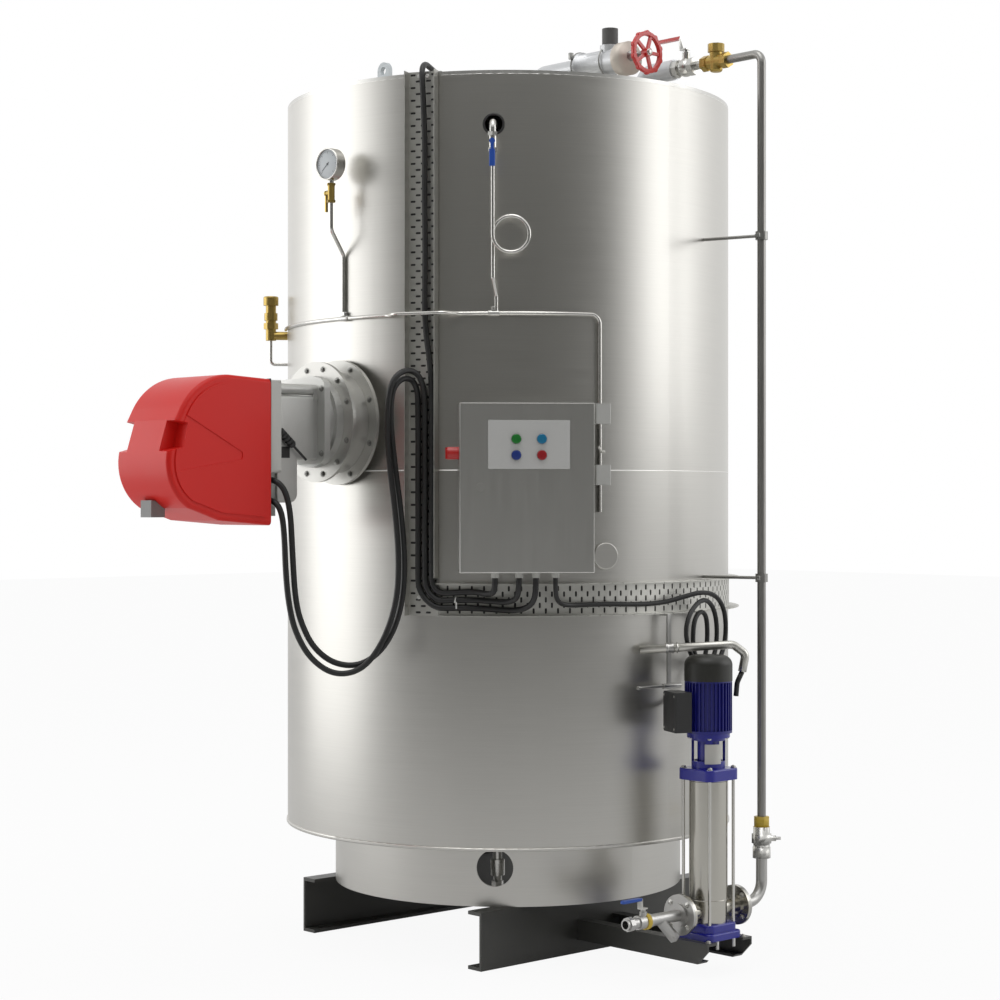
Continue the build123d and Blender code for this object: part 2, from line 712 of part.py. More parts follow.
def cabinet():
    place = station(CABINET_AZIMUTH)
    half = CABINET_WIDTH / 2
    height = (CABINET_BOTTOM, CABINET_TOP)
    shell = block((CABINET_BACK, CABINET_FRONT), (-half, half), height)
    hollow = block(
        (CABINET_BACK + CABINET_WALL, CABINET_FRONT),
        (-half + CABINET_WALL, half - CABINET_WALL),
        (CABINET_BOTTOM + CABINET_WALL, CABINET_TOP - CABINET_WALL),
    )
    back_rail = block(
        (JACKET_RADIUS + SEAT, CABINET_BACK),
        (-BACK_RAIL_WIDTH / 2, BACK_RAIL_WIDTH / 2),
        (CABINET_BOTTOM + BACK_RAIL_INSET, CABINET_TOP - BACK_RAIL_INSET),
    )
    save("cabinet_box", place * (shell - hollow + back_rail))

    back = CABINET_FRONT + PLAY
    front = back + DOOR_THICKNESS
    door = block((back, front), (-half, half), height)
    pocket = block(
        (back, front - DOOR_SHEET),
        (-half + DOOR_SHEET, half - DOOR_SHEET),
        (CABINET_BOTTOM + DOOR_SHEET, CABINET_TOP - DOOR_SHEET),
    )
    lock_y = LOCK_INSET - half
    lock_z = CABINET_BOTTOM + LOCK_RISE
    lock = rod((front - DOOR_SHEET, lock_y, lock_z), (front + LOCK_LENGTH, lock_y, lock_z), LOCK_RADIUS)
    save("cabinet_door", place * (door - pocket + lock))

    face = front + PANEL_SHEET
    sides = (PANEL_SHIFT - PANEL_WIDTH / 2, PANEL_SHIFT + PANEL_WIDTH / 2)
    panel_top = CABINET_TOP - PANEL_DROP
    save("lamp_panel", place * block((front, face), sides, (panel_top - PANEL_HEIGHT, panel_top)))

    lamps = []
    for column in (-LAMP_SPREAD, LAMP_SPREAD):
        for row in (-LAMP_RISE, LAMP_RISE):
            y = PANEL_SHIFT + column
            z = panel_top - LAMP_DROP + row
            lens = rod((face, y, z), (face + LAMP_LENGTH, y, z), LAMP_RADIUS)
            lamps.append(place * fillet(lens.edges().sort_by(Axis.X)[-1], LAMP_EDGE))
    save("indicator_lamps", *lamps)

    main_switch(place, -half - SEAT)
    cable_glands(place)


def main_switch(place, side):
    x = CABINET_FRONT - SWITCH_INSET
    z = CABINET_BOTTOM + SWITCH_RISE
    knob = rod((x, side, z), (x, side - SWITCH_LENGTH, z), SWITCH_RADIUS)
    grip = block(
        (x - SWITCH_GRIP / 2, x + SWITCH_GRIP / 2),
        (side - SWITCH_LENGTH - SWITCH_GRIP_DEPTH, side - SWITCH_LENGTH),
        (z - SWITCH_RADIUS * 0.9, z + SWITCH_RADIUS * 0.9),
    )
    save("main_switch", place * (knob + grip))


def cable_glands(place):
    """Four glands under the cabinet and one lying on the roof."""
    glands = []
    middle = (CABINET_BACK + CABINET_FRONT) / 2
    for offset in GLAND_PLACES:
        top = (middle, offset, CABINET_BOTTOM)
        bottom = (middle, offset, CABINET_BOTTOM - GLAND_LENGTH)
        nut = (middle, offset, CABINET_BOTTOM - GLAND_NUT)
        glands.append(place * (rod(top, bottom, GLAND_RADIUS - 2) + hexagon(nut, top, GLAND_RADIUS)))

    radius = ROOF_GLAND_PLACE
    level = roof_level(radius) + ROOF_GLAND_HEIGHT
    foot = rod((radius, 0, JACKET_TOP), (radius, 0, level), GLAND_RADIUS)
    mouth = rod((radius, 0, level), (radius + GLAND_RADIUS + 2, 0, level), GLAND_RADIUS - 2)
    roof_gland = station(TRAY_AZIMUTH) * (foot + mouth) - roof_cutter()
    save("cable_glands", *glands, roof_gland)


def wrapped(radius, start, end, height, count):
    """Corners whose filleted run lies on a circle round the boiler."""
    step = (end - start) / count
    reach = radius / math.cos(math.radians(step / 2))
    return [spot(reach, start + step * (index + 0.5), height) for index in range(count)]


def ring_tube():
    """Tube round the jacket that steps over the vertical tray and ends downwards."""
    over = TUBE_LINE + TRAY_DEPTH + 2 * TUBE_RADIUS
    step = 4
    left = TRAY_AZIMUTH - TRAY_HALF_ANGLE - 1
    right = TRAY_AZIMUTH + TRAY_HALF_ANGLE + 1
    first = wrapped(TUBE_LINE, RING_START, left - step, RING_HEIGHT, 6)
    second = wrapped(TUBE_LINE, right + step, RING_END - step / 2, RING_HEIGHT, 4)
    points = [spot(TUBE_LINE, RING_START, RING_HEIGHT)] + first
    points += [spot(TUBE_LINE, left - step, RING_HEIGHT), spot(over, left - 1, RING_HEIGHT)]
    points += [spot(over, right + 1, RING_HEIGHT), spot(TUBE_LINE, right + step, RING_HEIGHT)]
    points += second + [spot(TUBE_LINE, RING_END, RING_HEIGHT)]
    points += [spot(TUBE_LINE, RING_END, RING_HEIGHT - RING_TAIL)]
    wide = 0.8 * JACKET_RADIUS
    radii = [wide] * len(first) + [TUBE_BEND] * 4 + [wide] * len(second) + [TUBE_BEND]
    path = FilletPolyline(*points, radius=radii)
    save("ring_tube", sweep((path ^ 0) * Circle(TUBE_RADIUS), path=path))


def pressure_switches():
    place = station(SWITCH_BOX_AZIMUTH)
    offset = TUBE_LINE * math.sin(math.radians(RING_END - SWITCH_BOX_AZIMUTH))
    back = JACKET_RADIUS + SWITCH_BOX_STAND
    half = SWITCH_BOX_HEIGHT / 2
    sides = (-SWITCH_BOX_WIDTH / 2, SWITCH_BOX_WIDTH / 2)
    boxes = []
    for drop in SWITCH_BOX_DROPS:
        level = RING_HEIGHT - drop
        box = block((back, back + SWITCH_BOX_DEPTH), sides, (level - half, level + half), SWITCH_BOX_EDGE)
        stem = rod((TUBE_LINE + TUBE_RADIUS + SEAT, offset, level), (back, offset, level), TUBE_RADIUS)
        boxes.append(place * (box + stem))
    save("pressure_switches", *boxes)


def inspection_cap():
    back = JACKET_RADIUS - CAP_EDGE
    front = JACKET_RADIUS + CAP_DEPTH
    cap = rod((back, 0, CAP_HEIGHT), (front, 0, CAP_HEIGHT), CAP_RADIUS)
    cap = fillet(cap.edges().sort_by(Axis.X)[-1], CAP_EDGE)
    shell = disc(JACKET_RADIUS + SEAT, CAP_HEIGHT - 2 * CAP_RADIUS, CAP_HEIGHT + 2 * CAP_RADIUS)
    save("inspection_cap", station(CAP_AZIMUTH) * cap - shell)


def pressure_gauge():
    """Gauge, cock and lever; gives back the tube that runs down to the ring."""
    place = station(GAUGE_AZIMUTH)
    line = JACKET_RADIUS + GAUGE_STAND
    face = line + GAUGE_FRONT
    top = GAUGE_HEIGHT - COCK_DROP
    bottom = top - COCK_LENGTH
    middle = (top + bottom) / 2
    case = rod((face - GAUGE_DEPTH, 0, GAUGE_HEIGHT), (face, 0, GAUGE_HEIGHT), GAUGE_RADIUS)
    case = fillet(case.edges().sort_by(Axis.X)[0], GAUGE_BEZEL)
    dish = rod((face - GAUGE_DISH, 0, GAUGE_HEIGHT), (face, 0, GAUGE_HEIGHT), GAUGE_RADIUS - GAUGE_BEZEL)
    stem = rod((line, 0, top), (line, 0, GAUGE_HEIGHT - GAUGE_RADIUS + GAUGE_BEZEL), GAUGE_STEM_RADIUS)
    save("pressure_gauge", place * (case - dish + stem))

    body = rod((line, 0, bottom), (line, 0, top), COCK_RADIUS)
    bonnet = rod((line, 0, middle), (line, -COCK_RADIUS - COCK_BONNET, middle), COCK_RADIUS - 3)
    nut = hexagon((line, 0, top - COCK_NUT), (line, 0, top), COCK_RADIUS + 3)
    low_nut = hexagon((line, 0, bottom), (line, 0, bottom + COCK_NUT), COCK_RADIUS + 3)
    save("gauge_cock", place * (body + bonnet + nut + low_nut))

    side = -COCK_RADIUS - COCK_BONNET - SEAT
    end = side - COCK_LEVER_SHEET
    hub = rod((line, side, middle), (line, end, middle), COCK_HUB_RADIUS)
    half = COCK_HUB_RADIUS / 2
    arm = block((line - half, line + half), (end, side), (middle - COCK_LEVER_LENGTH, middle))
    save("gauge_cock_lever", place * (hub + arm))

    low = RING_HEIGHT + TUBE_RADIUS + SEAT
    step = JACKET_RADIUS + GAUGE_STAND - TUBE_LINE
    points = [(line, 0, bottom), (line, 0, bottom - 1.3 * step)]
    points += [(TUBE_LINE, -14, bottom - 2.4 * step), (TUBE_LINE, -14, low)]
    return place * bent(points, TUBE_RADIUS, TUBE_BEND)


def syphon():
    """Valve and lever; gives back the coiled tube that runs down to the ring."""
    place = station(SYPHON_AZIMUTH)
    inner = JACKET_RADIUS - JACKET_THICKNESS
    line = JACKET_RADIUS + SYPHON_STAND
    height = JACKET_TOP - SYPHON_DROP
    top = height - SYPHON_ELBOW_DROP
    bottom = top - SYPHON_VALVE_LENGTH
    middle = (top + bottom) / 2
    corner = 2 * SYPHON_ELBOW_RADIUS
    elbow = bent([(inner, 0, height), (line, 0, height), (line, 0, top)], SYPHON_ELBOW_RADIUS, corner)
    body = rod((line, 0, bottom), (line, 0, top), SYPHON_VALVE_RADIUS)
    nut = hexagon((line, 0, top - SYPHON_VALVE_RADIUS), (line, 0, top), SYPHON_VALVE_RADIUS + 4)
    low_nut = hexagon((line, 0, bottom), (line, 0, bottom + SYPHON_VALVE_RADIUS), SYPHON_VALVE_RADIUS + 3)
    bonnet = rod((line, 0, middle), (line + SYPHON_BONNET, 0, middle), COCK_RADIUS - 3)
    save("syphon_valve", place * (elbow + body + nut + low_nut + bonnet))

    face = line + SYPHON_BONNET + SEAT
    sheet = SYPHON_LEVER_SHEET
    hub = rod((face, 0, middle), (face + sheet, 0, middle), COCK_HUB_RADIUS)
    arm = block((face, face + sheet), (-sheet, sheet), (middle - SYPHON_LEVER_LENGTH / 2, middle))
    grip = block(
        (face - 1, face + sheet + 3),
        (-COCK_HUB_RADIUS, COCK_HUB_RADIUS),
        (middle - SYPHON_LEVER_LENGTH, middle - SYPHON_LEVER_LENGTH / 3),
        3,
    )
    save("syphon_lever", place * (hub + arm + grip))

    # one full turn seen from the front, entered and left on its left side
    coil_height = bottom - COIL_DROP
    half_turn = math.radians(180 / COIL_CORNERS)
    reach = COIL_RADIUS / math.cos(half_turn)
    turn = []
    for index in range(COIL_CORNERS):
        angle = math.pi + half_turn * (2 * index + 1)
        depth = line - COIL_STEP * (index + 0.5) / COIL_CORNERS
        turn.append((depth, COIL_RADIUS + reach * math.cos(angle), coil_height + reach * math.sin(angle)))
    low = RING_HEIGHT + TUBE_RADIUS + SEAT
    out = line - COIL_STEP
    points = [(line, 0, bottom - SEAT)] + turn
    points += [(out, 0, coil_height - 2.4 * COIL_RADIUS), (TUBE_LINE, 8, coil_height - 3.3 * COIL_RADIUS)]
    points += [(TUBE_LINE, 8, low)]
    radii = [COIL_RADIUS * 0.94] * COIL_CORNERS + [4 * TUBE_RADIUS] * 2
    path = FilletPolyline(*points, radius=radii)
    return place * sweep((path ^ 0) * Circle(TUBE_RADIUS), path=path)


def safety_valve():
    """Valve body; gives back its drain tube."""
    place = station(VALVE_AZIMUTH)
    line = JACKET_RADIUS + VALVE_STAND
    low = VALVE_HEIGHT - VALVE_FOOT
    top = VALVE_HEIGHT + VALVE_RISE
    cap_bottom = top - VALVE_CAP_HEIGHT
    wall = JACKET_RADIUS + SEAT
    branch = rod((wall, 0, VALVE_HEIGHT), (line, 0, VALVE_HEIGHT), VALVE_BRANCH_RADIUS)
    body = rod((line, 0, low), (line, 0, cap_bottom), VALVE_BODY_RADIUS)
    nut_low = VALVE_HEIGHT + VALVE_BODY_RADIUS + 5
    nut = hexagon((line, 0, nut_low), (line, 0, nut_low + 20), VALVE_BODY_RADIUS + 7)
    neck = rod((line, 0, cap_bottom - 50), (line, 0, cap_bottom - 26), VALVE_BODY_RADIUS + 5)
    cap = rod((line, 0, cap_bottom), (line, 0, top), VALVE_CAP_RADIUS)
    cap = fillet(cap.edges().sort_by(Axis.Z)[-1], 5)
    save("safety_valve", place * (branch + body + nut + neck + cap))

    end = VALVE_HEIGHT - VALVE_DRAIN_DROP
    tube = bent([(line, 0, low), (line, 0, end), (wall, 0, end)], TUBE_RADIUS - 1, 2.3 * TUBE_RADIUS)
    return place * tube


def cover_face(grow=0):
    """Side view of the burner cover, outwards from the backplate and up from the burner's axis."""
    start = 0
    end = COVER_LENGTH
    top = Line((start, COVER_RISE - 7), (end * 0.36, COVER_RISE))
    shoulder = ThreePointArc((end * 0.36, COVER_RISE), (end * 0.68, COVER_RISE - 27), (end * 0.87, 26))
    back = Polyline((end * 0.87, 26), (end * 0.92, -9), (end * 0.985, -85))
    belly = ThreePointArc((end * 0.985, -85), (end * 0.98, -185), (end * 0.8, -266))
    under = Polyline((end * 0.8, -266), (end * 0.5, -303), (start, -COVER_DROP))
    front = Line((start, -COVER_DROP), (start, COVER_RISE - 7))
    face = make_face(Curve() + [top, shoulder, back, belly, under, front])
    if grow:
        face = offset(face, grow)
    return face


def cover_solid(grow=0):
    """Moulded cover: rounded rim, proud side panels, two hand grips and a shallow mark each side."""
    half = COVER_HALF_WIDTH - COVER_PANEL + grow
    solid = extrude(Plane.XZ * cover_face(grow), amount=half, both=True)
    if grow:
        return solid
    rim = [edge for edge in solid.edges() if abs(abs(edge.center().Y) - half) < 0.01 and edge.center().X > 1]
    solid = fillet(rim, COVER_EDGE)
    panel = offset(cover_face(), -COVER_BORDER)
    proud = extrude(Plane.XZ * panel, amount=COVER_HALF_WIDTH, both=True)
    to_plate = block((-COVER_BORDER, 0), (-COVER_HALF_WIDTH, COVER_HALF_WIDTH), (-COVER_DROP, COVER_RISE))
    solid = solid + proud - to_plate
    tip = COVER_LENGTH * 0.29
    heel = COVER_LENGTH * 0.9
    mark = Polyline((heel, 18), (tip, -100), (tip, -122), (heel, -158), close=True)
    mark = fillet(make_face(mark).vertices().sort_by(Axis.X)[:2], 10)
    floor = COVER_HALF_WIDTH - MARK_DEPTH
    for side in (-1, 1):
        plane = Plane.XZ.offset(-side * floor)
        solid = solid - extrude(plane * mark, amount=-side * 2 * MARK_DEPTH)
        solid = solid - hand_grip(side)
    return solid


def hand_grip(side):
    """Pocket at the rear corner, its roof slanting down towards the front."""
    rear = COVER_LENGTH + COVER_EDGE
    front = COVER_LENGTH - GRIP_DEPTH
    outline = Polyline(
        (front, GRIP_BOTTOM + GRIP_SLANT),
        (rear, GRIP_BOTTOM),
        (rear, GRIP_TOP + GRIP_SLANT),
        (front - GRIP_SLANT, GRIP_TOP),
        close=True,
    )
    pocket = extrude(Plane.XZ * make_face(outline), amount=GRIP_REACH / 2, both=True)
    return Pos(0, side * (COVER_HALF_WIDTH + COVER_PANEL - GRIP_REACH / 2), 0) * pocket


def burner():
    """Pieces are built along local +X and turned towards the burner's azimuth."""
    place = Location((BURNER_X, 0, 0), (0, 0, BURNER_AZIMUTH))
    height = BURNER_HEIGHT
    wall = JACKET_RADIUS + BURNER_STAND
    face = wall + FLANGE_THICKNESS
    front = face + FLANGE_GAP
    pad_start = front + FLANGE_THICKNESS
    step_start = pad_start + PAD_THICKNESS
    square_start = step_start + STEP_THICKNESS
    square_end = square_start + SQUARE_THICKNESS
    plate_start = square_end + HOUSING_LENGTH
    plate_end = plate_start + BACKPLATE_THICKNESS

    jacket = disc(JACKET_RADIUS + SEAT, height - 2 * BACK_FLANGE_RADIUS, height + 2 * BACK_FLANGE_RADIUS)
    neck = rod((JACKET_RADIUS / 2, 0, height), (wall, 0, height), NECK_RADIUS, BLAST_TUBE_RADIUS)
    flange = rod((wall, 0, height), (face, 0, height), BACK_FLANGE_RADIUS, BLAST_TUBE_RADIUS)
    spacer = rod((face + SEAT, 0, height), (front, 0, height), NECK_RADIUS + 8, BLAST_TUBE_RADIUS)
    ring_face = rod((front, 0, height), (pad_start, 0, height), FRONT_FLANGE_RADIUS, BLAST_TUBE_RADIUS)
    save("burner_flanges", place * (neck + flange) - jacket, place * (spacer + ring_face))

    pad = rod((pad_start, 0, height), (step_start, 0, height), PAD_RADIUS)
    step = rod((step_start, 0, height), (square_start, 0, height), STEP_RADIUS)
    outline = RectangleRounded(2 * SQUARE_HALF, 2 * SQUARE_HALF, SQUARE_CORNER)
    square_plane = Plane(origin=(square_start, 0, height), x_dir=(0, 1, 0), z_dir=(1, 0, 0))
    square = extrude(square_plane * outline, amount=SQUARE_THICKNESS)
    half = HOUSING_HALF_WIDTH
    body = block((square_start, plate_start), (-half, half), (height - HOUSING_DROP, height + HOUSING_RISE))
    body = fillet(body.edges().filter_by(Axis.X), HOUSING_EDGE)
    for side in (-1, 1):
        y = side * BAR_OFFSET
        z = height + BAR_RISE
        body = body + rod((square_start, y, z), (plate_start, y, z), BAR_RADIUS)
        width = (y - BAR_RADIUS, y + BAR_RADIUS)
        body = body + block((square_start, square_end + BAR_RADIUS), width, (z - 2 * BAR_RADIUS, z))
    casing = block(
        (plate_start - CASING_LENGTH, plate_start),
        (-half, half),
        (height - CASING_DROP, height - HOUSING_DROP + HOUSING_EDGE),
    )
    low_front = casing.edges().filter_by(Axis.Y).group_by(Axis.Z)[0].sort_by(Axis.X)[0]
    casing = fillet(low_front, CASING_EDGE)
    save("burner_housing", place * (pad + step + square + body + casing))

    sides = (COVER_SHIFT - COVER_HALF_WIDTH + 2, COVER_SHIFT + COVER_HALF_WIDTH - 2)
    backplate = block(
        (plate_start + SEAT, plate_end - SEAT), sides, (height - BACKPLATE_DROP, height + COVER_RISE - 9)
    )
    backplate = fillet(backplate.edges().filter_by(Axis.X), HOUSING_EDGE)
    entry = block(
        (plate_end - SEAT - ENTRY_BOX_LENGTH, plate_end - SEAT),
        (ENTRY_BOX_PLACE, ENTRY_BOX_PLACE + ENTRY_BOX_WIDTH),
        (height - ENTRY_BOX_DROP, height - BACKPLATE_DROP),
    )
    entry = entry - block((0, plate_start + SEAT), (-half, half + SEAT), (0, height - BACKPLATE_DROP))
    at_plate = Pos(plate_end, COVER_SHIFT, height)
    latch = block(
        (LATCH_START, LATCH_START + LATCH_LENGTH),
        (LATCH_PLACE - LATCH_WIDTH / 2, LATCH_PLACE + LATCH_WIDTH / 2),
        (LATCH_RISE - LATCH_HEIGHT / 2, LATCH_RISE + LATCH_HEIGHT / 2),
    )
    latch = latch - cover_solid(SEAT)
    save("burner_backplate", place * (backplate + entry), place * (at_plate * latch))
    save("burner_cover", place * (at_plate * cover_solid()))
    boot(place, plate_start, height)


def boot(place, start, height):
    """Ribbed rubber boot beside the housing with the lead that leaves it."""
    side = HOUSING_HALF_WIDTH + SEAT + BOOT_RADIUS
    pitch = BOOT_LENGTH / BOOT_RIBS
    groove = BOOT_RADIUS - BOOT_RIB_DEPTH
    end = BOOT_LENGTH + LEAD_LENGTH
    profile = [(0, 0)]
    for index in range(BOOT_RIBS):
        low = index * pitch
        profile += [(BOOT_RADIUS, low), (BOOT_RADIUS, low + pitch * 0.6)]
        profile += [(groove, low + pitch * 0.7), (groove, low + pitch)]
    profile += [(LEAD_RADIUS, BOOT_LENGTH), (LEAD_RADIUS, end), (0, end)]
    turn = Location((start - SEAT, side, height - BOOT_DROP), (0, -90 - BOOT_TURN, 0))
    solid = place * (turn * turned(profile))
    beyond = place * block((start - SEAT, start + BOOT_LENGTH), (0, 2 * side), (0, 2 * height))
    save("burner_boot", solid - beyond)


def pump():
    at = Pos(PUMP_X, PUMP_Y, 0)
    half = PUMP_FOOT / 2
    step_top = PUMP_RAIL_TOP + FOOT_STEP
    foot_top = PUMP_RAIL_TOP + FOOT_RISE
    low = block((-half, half), (-half, half), (PUMP_RAIL_TOP, step_top), FOOT_CORNER)
    low = fillet(low.edges().group_by(Axis.Z)[-1], FOOT_EDGE)
    inner = half - FOOT_INSET
    high = block((-inner, inner), (-inner, inner), (PUMP_RAIL_TOP, foot_top), FOOT_CORNER + 4)
    high = fillet(high.edges().group_by(Axis.Z)[-1], FOOT_EDGE)
    save("pump_foot", at * (low + high))

    port = PUMP_RAIL_TOP + PORT_RISE
    sleeve_bottom = foot_top + BASE_LENGTH
    sleeve_top = sleeve_bottom + SLEEVE_LENGTH
    base = disc(BASE_RADIUS, foot_top, sleeve_bottom)
    inner_face = PORT_REACH - PUMP_FLANGE_THICKNESS
    for side in (-1, 1):
        base = base + rod((0, 0, port), (0, side * inner_face, port), PORT_RADIUS)
        base = base + rod((0, side * inner_face, port), (0, side * PORT_REACH, port), PORT_COLLAR_RADIUS)
        flange_start = PORT_REACH - LOOSE_FLANGE_THICKNESS
        base = base + rod((0, side * flange_start, port), (0, side * PORT_REACH, port), PUMP_FLANGE_RADIUS)
    under = block((-2 * PORT_REACH, 2 * PORT_REACH), (-2 * PORT_REACH, 2 * PORT_REACH), (0, foot_top))
    save("pump_base", at * (base - under))

    save("pump_sleeve", at * disc(SLEEVE_RADIUS, sleeve_bottom, sleeve_top))

    rods = []
    for x in (-TIE_ROD_PLACE, TIE_ROD_PLACE):
        for y in (-TIE_ROD_PLACE, TIE_ROD_PLACE):
            rods.append(at * rod((x, y, foot_top), (x, y, sleeve_top), TIE_ROD_RADIUS))
    save("tie_rods", *rods)

    head_top = sleeve_top + HEAD_THICKNESS
    motor_bottom = head_top + LANTERN_RISE
    half = HEAD_WIDTH / 2
    plate = block((-half, half), (-half, half), (sleeve_top, head_top), HEAD_CORNER)
    plate = fillet(plate.edges().group_by(Axis.Z)[-1], FOOT_EDGE)
    flange_bottom = motor_bottom - LANTERN_FLANGE
    lantern = ring(LANTERN_BORE, LANTERN_RADIUS, head_top, flange_bottom)
    lantern = lantern + ring(LANTERN_BORE, LANTERN_FLANGE_RADIUS, flange_bottom, motor_bottom)
    window = block(
        (-LANTERN_WINDOW, LANTERN_WINDOW),
        (-HEAD_WIDTH, HEAD_WIDTH),
        (head_top + LANTERN_WINDOW * 0.8, flange_bottom - LANTERN_WINDOW / 3),
    )
    guard = ring(GUARD_BORE, GUARD_RADIUS, head_top, motor_bottom)
    lantern = lantern - window - Rot(0, 0, 90) * window
    save("pump_head", at * (plate + lantern), at * guard)
    motor(at, motor_bottom)


def motor(at, bottom):
    top = bottom + MOTOR_LENGTH
    step = 360 / MOTOR_FINS
    core = disc(MOTOR_CORE, bottom, top)
    fin = block((0, MOTOR_RADIUS), (-1.6, 1.6), (bottom + 8, top - 4))
    body = core + disc(MOTOR_RADIUS, bottom, bottom + 8) + disc(MOTOR_RADIUS, top - 4, top)
    for index in range(MOTOR_FINS):
        body = body + Rot(0, 0, index * step) * fin
    save("motor", at * body)

    cover_top = top + FAN_COVER_HEIGHT
    cowl = disc(FAN_COVER_RADIUS, top, cover_top)
    cowl = fillet(cowl.edges().sort_by(Axis.Z)[-1], FAN_COVER_EDGE)
    guard = ring(FAN_GUARD_RADIUS, FAN_GUARD_RADIUS + 4, cover_top - FAN_GUARD_DEPTH, cover_top + 1)
    save("fan_cover", at * (cowl - guard))

    half = TERMINAL_WIDTH / 2
    low = bottom + TERMINAL_RISE
    back = -MOTOR_RADIUS - SEAT
    box = block((-half, half), (back - TERMINAL_DEPTH, back), (low, low + TERMINAL_HEIGHT), TERMINAL_EDGE)
    y = back - TERMINAL_DEPTH / 2
    z = low + TERMINAL_GLAND_RISE
    gland = rod((-half, y, z), (-half - TERMINAL_GLAND_LENGTH, y, z), TERMINAL_GLAND_RADIUS)
    save("terminal_box", at * Rot(0, 0, TERMINAL_TURN) * (box + gland))


def suction_line():
    x = PUMP_X
    z = PUMP_RAIL_TOP + PORT_RISE
    face = PUMP_Y - PORT_REACH - SEAT
    flange_end = face - PUMP_FLANGE_THICKNESS
    end = flange_end - SUCTION_LENGTH
    valve_start = end + SUCTION_VALVE
    stem_y = end + SUCTION_STEM
    loose = rod((x, face, z), (x, face - LOOSE_FLANGE_THICKNESS, z), PUMP_FLANGE_RADIUS)
    hub = rod((x, face, z), (x, flange_end, z), PORT_COLLAR_RADIUS)
    run = rod((x, flange_end, z), (x, valve_start - 20, z), SUCTION_RADIUS - 3)
    valve = rod((x, end + SUCTION_MOUTH, z), (x, valve_start, z), SUCTION_RADIUS)
    mouth = rod((x, end, z), (x, end + SUCTION_MOUTH, z), SUCTION_MOUTH_RADIUS)
    nut = hexagon((x, end + 8, z), (x, end + SUCTION_MOUTH / 2, z), SUCTION_RADIUS + 1, 8)
    leg_y = flange_end - STRAINER_PLACE
    leg = rod((x, leg_y, z), (x, leg_y + STRAINER_REACH, z - STRAINER_REACH), STRAINER_RADIUS)
    cap_y = leg_y + STRAINER_REACH
    cap_z = z - STRAINER_REACH
    cap = hexagon((x, cap_y - 8, cap_z + 8), (x, cap_y + 4, cap_z - 4), STRAINER_CAP_RADIUS)
    stem_top = z + SUCTION_STEM_RISE
    stem = rod((x, stem_y, z), (x, stem_y, stem_top), SUCTION_STEM_RADIUS)
    collar = rod((x, stem_y, z), (x, stem_y, stem_top - SUCTION_STEM_RADIUS), SUCTION_COLLAR_RADIUS)
    bore = rod((x, end, z), (x, end + SUCTION_BORE_LENGTH, z), SUCTION_BORE)
    save("suction_line", loose + hub + run + valve + mouth + nut + leg + cap + stem + collar - bore)

    low = stem_top + SEAT
    half = SUCTION_STEM_RADIUS + 2
    plate = block((x - half, x + half), (stem_y - half, stem_y + half), (low, low + 4))
    upright = block((x - half, x + half), (stem_y - half - 4, stem_y - half), (low, low + 30))
    grip = block((x - half + 1, x + half - 1), (stem_y - SUCTION_LEVER, stem_y - half), (low + 26, low + 34))
    grip = fillet(grip.edges().filter_by(Axis.Z).group_by(Axis.Y)[0], half - 2)
    save("suction_lever", plate + upright + grip)


def discharge_line():
    x = PUMP_X
    y = RISER_Y
    z = PUMP_RAIL_TOP + PORT_RISE
    face = PUMP_Y + PORT_REACH + SEAT
    flange_end = face + PUMP_FLANGE_THICKNESS
    bottom = z + DISCHARGE_VALVE_RISE
    top = bottom + DISCHARGE_VALVE_LENGTH
    loose = rod((x, face, z), (x, face + LOOSE_FLANGE_THICKNESS, z), PUMP_FLANGE_RADIUS)
    hub = rod((x, face, z), (x, flange_end, z), PORT_COLLAR_RADIUS)
    pipe = bent([(x, flange_end, z), (x, y, z), (x, y, bottom)], DISCHARGE_RADIUS, DISCHARGE_BEND)
    save("discharge_elbow", loose + hub + pipe)

    skirt = rod((x, y, bottom), (x, y, bottom + DISCHARGE_SKIRT), DISCHARGE_SKIRT_RADIUS)
    body = rod((x, y, bottom), (x, y, top), DISCHARGE_VALVE_RADIUS)
    nut_low = bottom + DISCHARGE_SKIRT + 12
    nut = hexagon((x, y, nut_low), (x, y, nut_low + DISCHARGE_NUT), DISCHARGE_NUT_RADIUS, 8)
    tip = direction(VENT_AZIMUTH)
    level = nut_low + DISCHARGE_NUT / 2
    middle = Vector(x, y, level)
    vent = rod(middle, middle + tip * (VENT_LENGTH * 0.75), VENT_RADIUS)
    vent = vent + rod(middle, middle + tip * VENT_LENGTH, VENT_TIP_RADIUS)
    union_top = top + UNION_LENGTH
    union = hexagon((x, y, top + SEAT), (x, y, union_top), UNION_RADIUS, 12)
    save("discharge_valve", skirt + body + nut + vent, union)

    riser_top = JACKET_TOP + FEED_RISE
    end = CHECK_VALVE_X + CHECK_VALVE_LENGTH / 2 + SEAT
    route = [(x, y, union_top + SEAT), (x, y, riser_top), (end, y, riser_top)]
    save("feed_riser", bent(route, RISER_RADIUS, RISER_BEND))


def riser_clamps():
    reach = math.hypot(PUMP_X, RISER_Y)
    azimuth = math.degrees(math.atan2(RISER_Y, PUMP_X))
    clamps = []
    for level in CLAMP_HEIGHTS:
        bottom = level - CLAMP_HEIGHT / 2
        collar = ring(RISER_RADIUS + SEAT, RISER_RADIUS + CLAMP_WALL, bottom, bottom + CLAMP_HEIGHT)
        bar_end = reach - RISER_RADIUS - CLAMP_WALL / 2
        bar = rod((JACKET_RADIUS + SEAT, 0, level), (bar_end, 0, level), CLAMP_BAR_RADIUS)
        clamps.append(station(azimuth) * (Pos(reach, 0, 0) * collar + bar))
    save("riser_clamps", *clamps)


